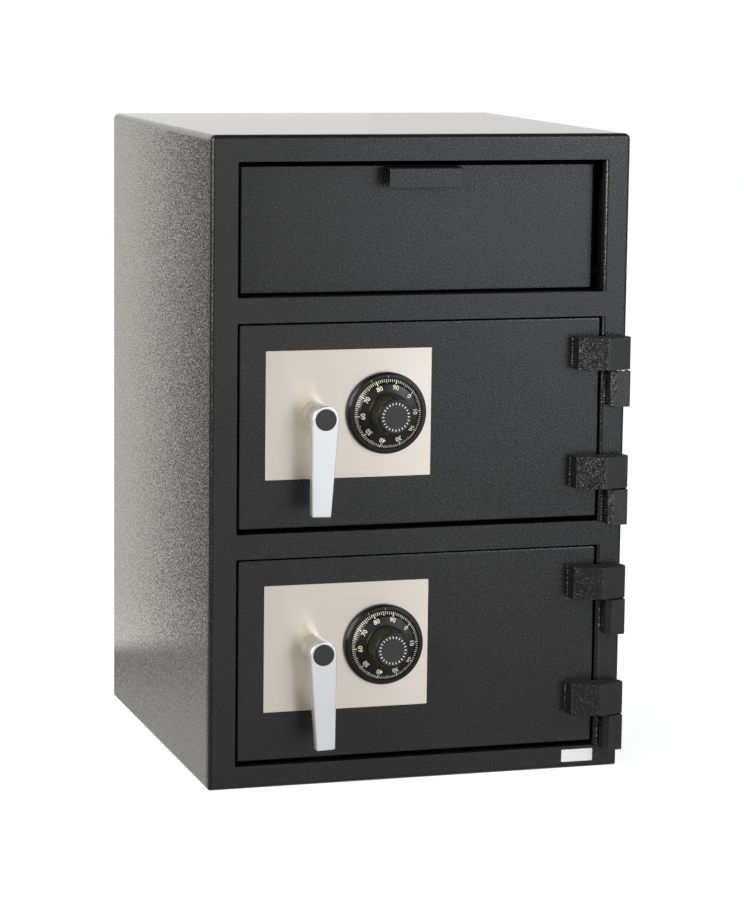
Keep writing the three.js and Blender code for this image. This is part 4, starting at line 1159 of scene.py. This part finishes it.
# World: white for the camera and through clear glass, softer as a light. A reflection sees the
# backdrop dim to the left, brighter there near the floor and high up, and dark far to the right.
# It sees the room behind the camera bright straight ahead and dim at both sides, low down and
# overhead.
WORLD_LIGHT = 0.45
BACKDROP_TINT = (1, 0.988, 0.945)
ROOM_TINT = (0.985, 0.99, 1)
BACKDROP_WHITE = 0.83
BACKDROP_DIM, BACKDROP_DIM_END, BACKDROP_FULL = 0.125, -0.18, 0.0
BACKDROP_LOW, BACKDROP_LOW_END, BACKDROP_LOW_FULL = 0.58, -0.225, -0.2
BACKDROP_HIGH_FULL, BACKDROP_HIGH_END = -0.03, 0.06
BACKDROP_RIGHT, BACKDROP_RIGHT_FULL, BACKDROP_RIGHT_END = 0.1, 0.45, 0.7
BACKDROP_CEILING_FULL, BACKDROP_CEILING_END = 0.4, 0.55
ROOM_DIM, ROOM_DIM_END, ROOM_FULL = 0.2, -0.3, 0.08
ROOM_LOW, ROOM_LOW_END, ROOM_LOW_FULL = 0.4, -0.28, -0.06
ROOM_RIGHT, ROOM_RIGHT_END, ROOM_RIGHT_FULL = 0.2, 1.0, 0.88
CEILING, CEILING_END, CEILING_FULL = 0.08, 0.36, 0.14
ROOM_ONLY, BACKDROP_ONLY = -0.3, 0.3


def chosen(tree, factor, first, second):
    node = tree.nodes.new("ShaderNodeMix")
    tree.links.new(factor, node.inputs["Factor"])
    for socket, value in (("A", first), ("B", second)):
        if isinstance(value, float):
            node.inputs[socket].default_value = value
        else:
            tree.links.new(value, node.inputs[socket])
    return node.outputs["Result"]


def make_world():
    world = bpy.data.worlds.new("studio")
    world.use_nodes = True
    tree = world.node_tree
    background = tree.nodes["Background"]
    path = tree.nodes.new("ShaderNodeLightPath")
    direction = tree.nodes.new("ShaderNodeTexCoord")
    split = tree.nodes.new("ShaderNodeSeparateXYZ")
    tree.links.new(direction.outputs["Generated"], split.inputs["Vector"])
    near_floor = ranged(
        tree, split.outputs["Z"], BACKDROP_LOW, BACKDROP_DIM, BACKDROP_LOW_END, BACKDROP_LOW_FULL,
    )
    high = ranged(tree, split.outputs["Z"], 0, 1, BACKDROP_HIGH_FULL, BACKDROP_HIGH_END)
    left = chosen(tree, high, near_floor, BACKDROP_WHITE)
    across = ranged(tree, split.outputs["X"], 0, 1, BACKDROP_DIM_END, BACKDROP_FULL)
    right = ranged(tree, split.outputs["X"], 1, BACKDROP_RIGHT, BACKDROP_RIGHT_FULL, BACKDROP_RIGHT_END)
    sky = ranged(tree, split.outputs["Z"], 1, CEILING, BACKDROP_CEILING_FULL, BACKDROP_CEILING_END)
    wall = chosen(tree, across, left, BACKDROP_WHITE)
    backdrop = multiplied(tree, wall, multiplied(tree, right, sky))
    room_left = ranged(tree, split.outputs["X"], ROOM_DIM, 1, ROOM_DIM_END, ROOM_FULL)
    room_right = ranged(tree, split.outputs["X"], 1, ROOM_RIGHT, ROOM_RIGHT_FULL, ROOM_RIGHT_END)
    room_low = ranged(tree, split.outputs["Z"], ROOM_LOW, 1, ROOM_LOW_END, ROOM_LOW_FULL)
    overhead = ranged(tree, split.outputs["Z"], 1, CEILING, CEILING_FULL, CEILING_END)
    behind = ranged(tree, split.outputs["Y"], 0, 1, ROOM_ONLY, BACKDROP_ONLY)
    sides = multiplied(tree, room_left, room_right)
    room = multiplied(tree, sides, multiplied(tree, room_low, overhead))
    reflected = chosen(tree, behind, room, backdrop)
    lighting = chosen(tree, path.outputs["Is Glossy Ray"], WORLD_LIGHT, reflected)
    seen = tree.nodes.new("ShaderNodeMath")
    seen.operation = "MAXIMUM"
    tree.links.new(path.outputs["Is Camera Ray"], seen.inputs[0])
    tree.links.new(path.outputs["Is Transmission Ray"], seen.inputs[1])
    tree.links.new(chosen(tree, seen.outputs["Value"], lighting, 1.0), background.inputs["Strength"])
    tint = tree.nodes.new("ShaderNodeMix")
    tint.data_type = "RGBA"
    tint.inputs[6].default_value = (1, 1, 1, 1)
    tree.links.new(blended(tree, behind, ROOM_TINT, BACKDROP_TINT), tint.inputs[7])
    tree.links.new(path.outputs["Is Glossy Ray"], tint.inputs["Factor"])
    tree.links.new(tint.outputs[2], background.inputs["Color"])
    bpy.context.scene.world = world


def softbox(name, place, target, width, height, power, colour):
    light = bpy.data.lights.new(name, "AREA")
    light.color = colour
    light.shape = "RECTANGLE"
    light.size = width
    light.size_y = height
    light.energy = power
    holder = bpy.data.objects.new(name, light)
    direction = Vector(target) - Vector(place)
    holder.rotation_euler = direction.to_track_quat("-Z", "Y").to_euler()
    holder.location = place
    bpy.context.scene.collection.objects.link(holder)
    holder.visible_camera = False


def make_camera():
    camera = bpy.data.cameras.new("camera")
    camera.sensor_width = SENSOR_SIZE
    camera.lens = CAMERA_LENS
    camera.clip_end = CAMERA_REACH
    holder = bpy.data.objects.new("camera", camera)
    level = Euler((math.pi / 2 - CAMERA_PITCH, 0, -CAMERA_YAW)).to_matrix().to_4x4()
    roll = Matrix.Rotation(CAMERA_ROLL, 4, "Z")
    holder.matrix_world = Matrix.Translation(CAMERA_PLACE) @ level @ roll
    bpy.context.scene.collection.objects.link(holder)
    bpy.context.scene.camera = holder


SAFE_MIDDLE = (0, -0.1, 0.4)
make_floor()
make_world()
softbox("left_softbox", (-2.3, -1.4, 1.35), SAFE_MIDDLE, 1.5, 2.1, 70, (1, 0.96, 0.88))
softbox("right_softbox", (1.85, -2.6, 1.5), SAFE_MIDDLE, 1.4, 1.3, 27.5, (0.9, 0.95, 1))
softbox("back_card", (-0.1, 0.95, 0.34), (-0.1, 0, 0.34), 0.8, 0.86, 1.62, (1, 0.982, 0.91))
softbox("front_card", (1.3, -2.6, 0.5), (1.3, 0, 0.5), 1.1, 1.1, 3.6, (0.9, 0.95, 1))
make_camera()
bpy.context.scene.view_settings.view_transform = "Standard"
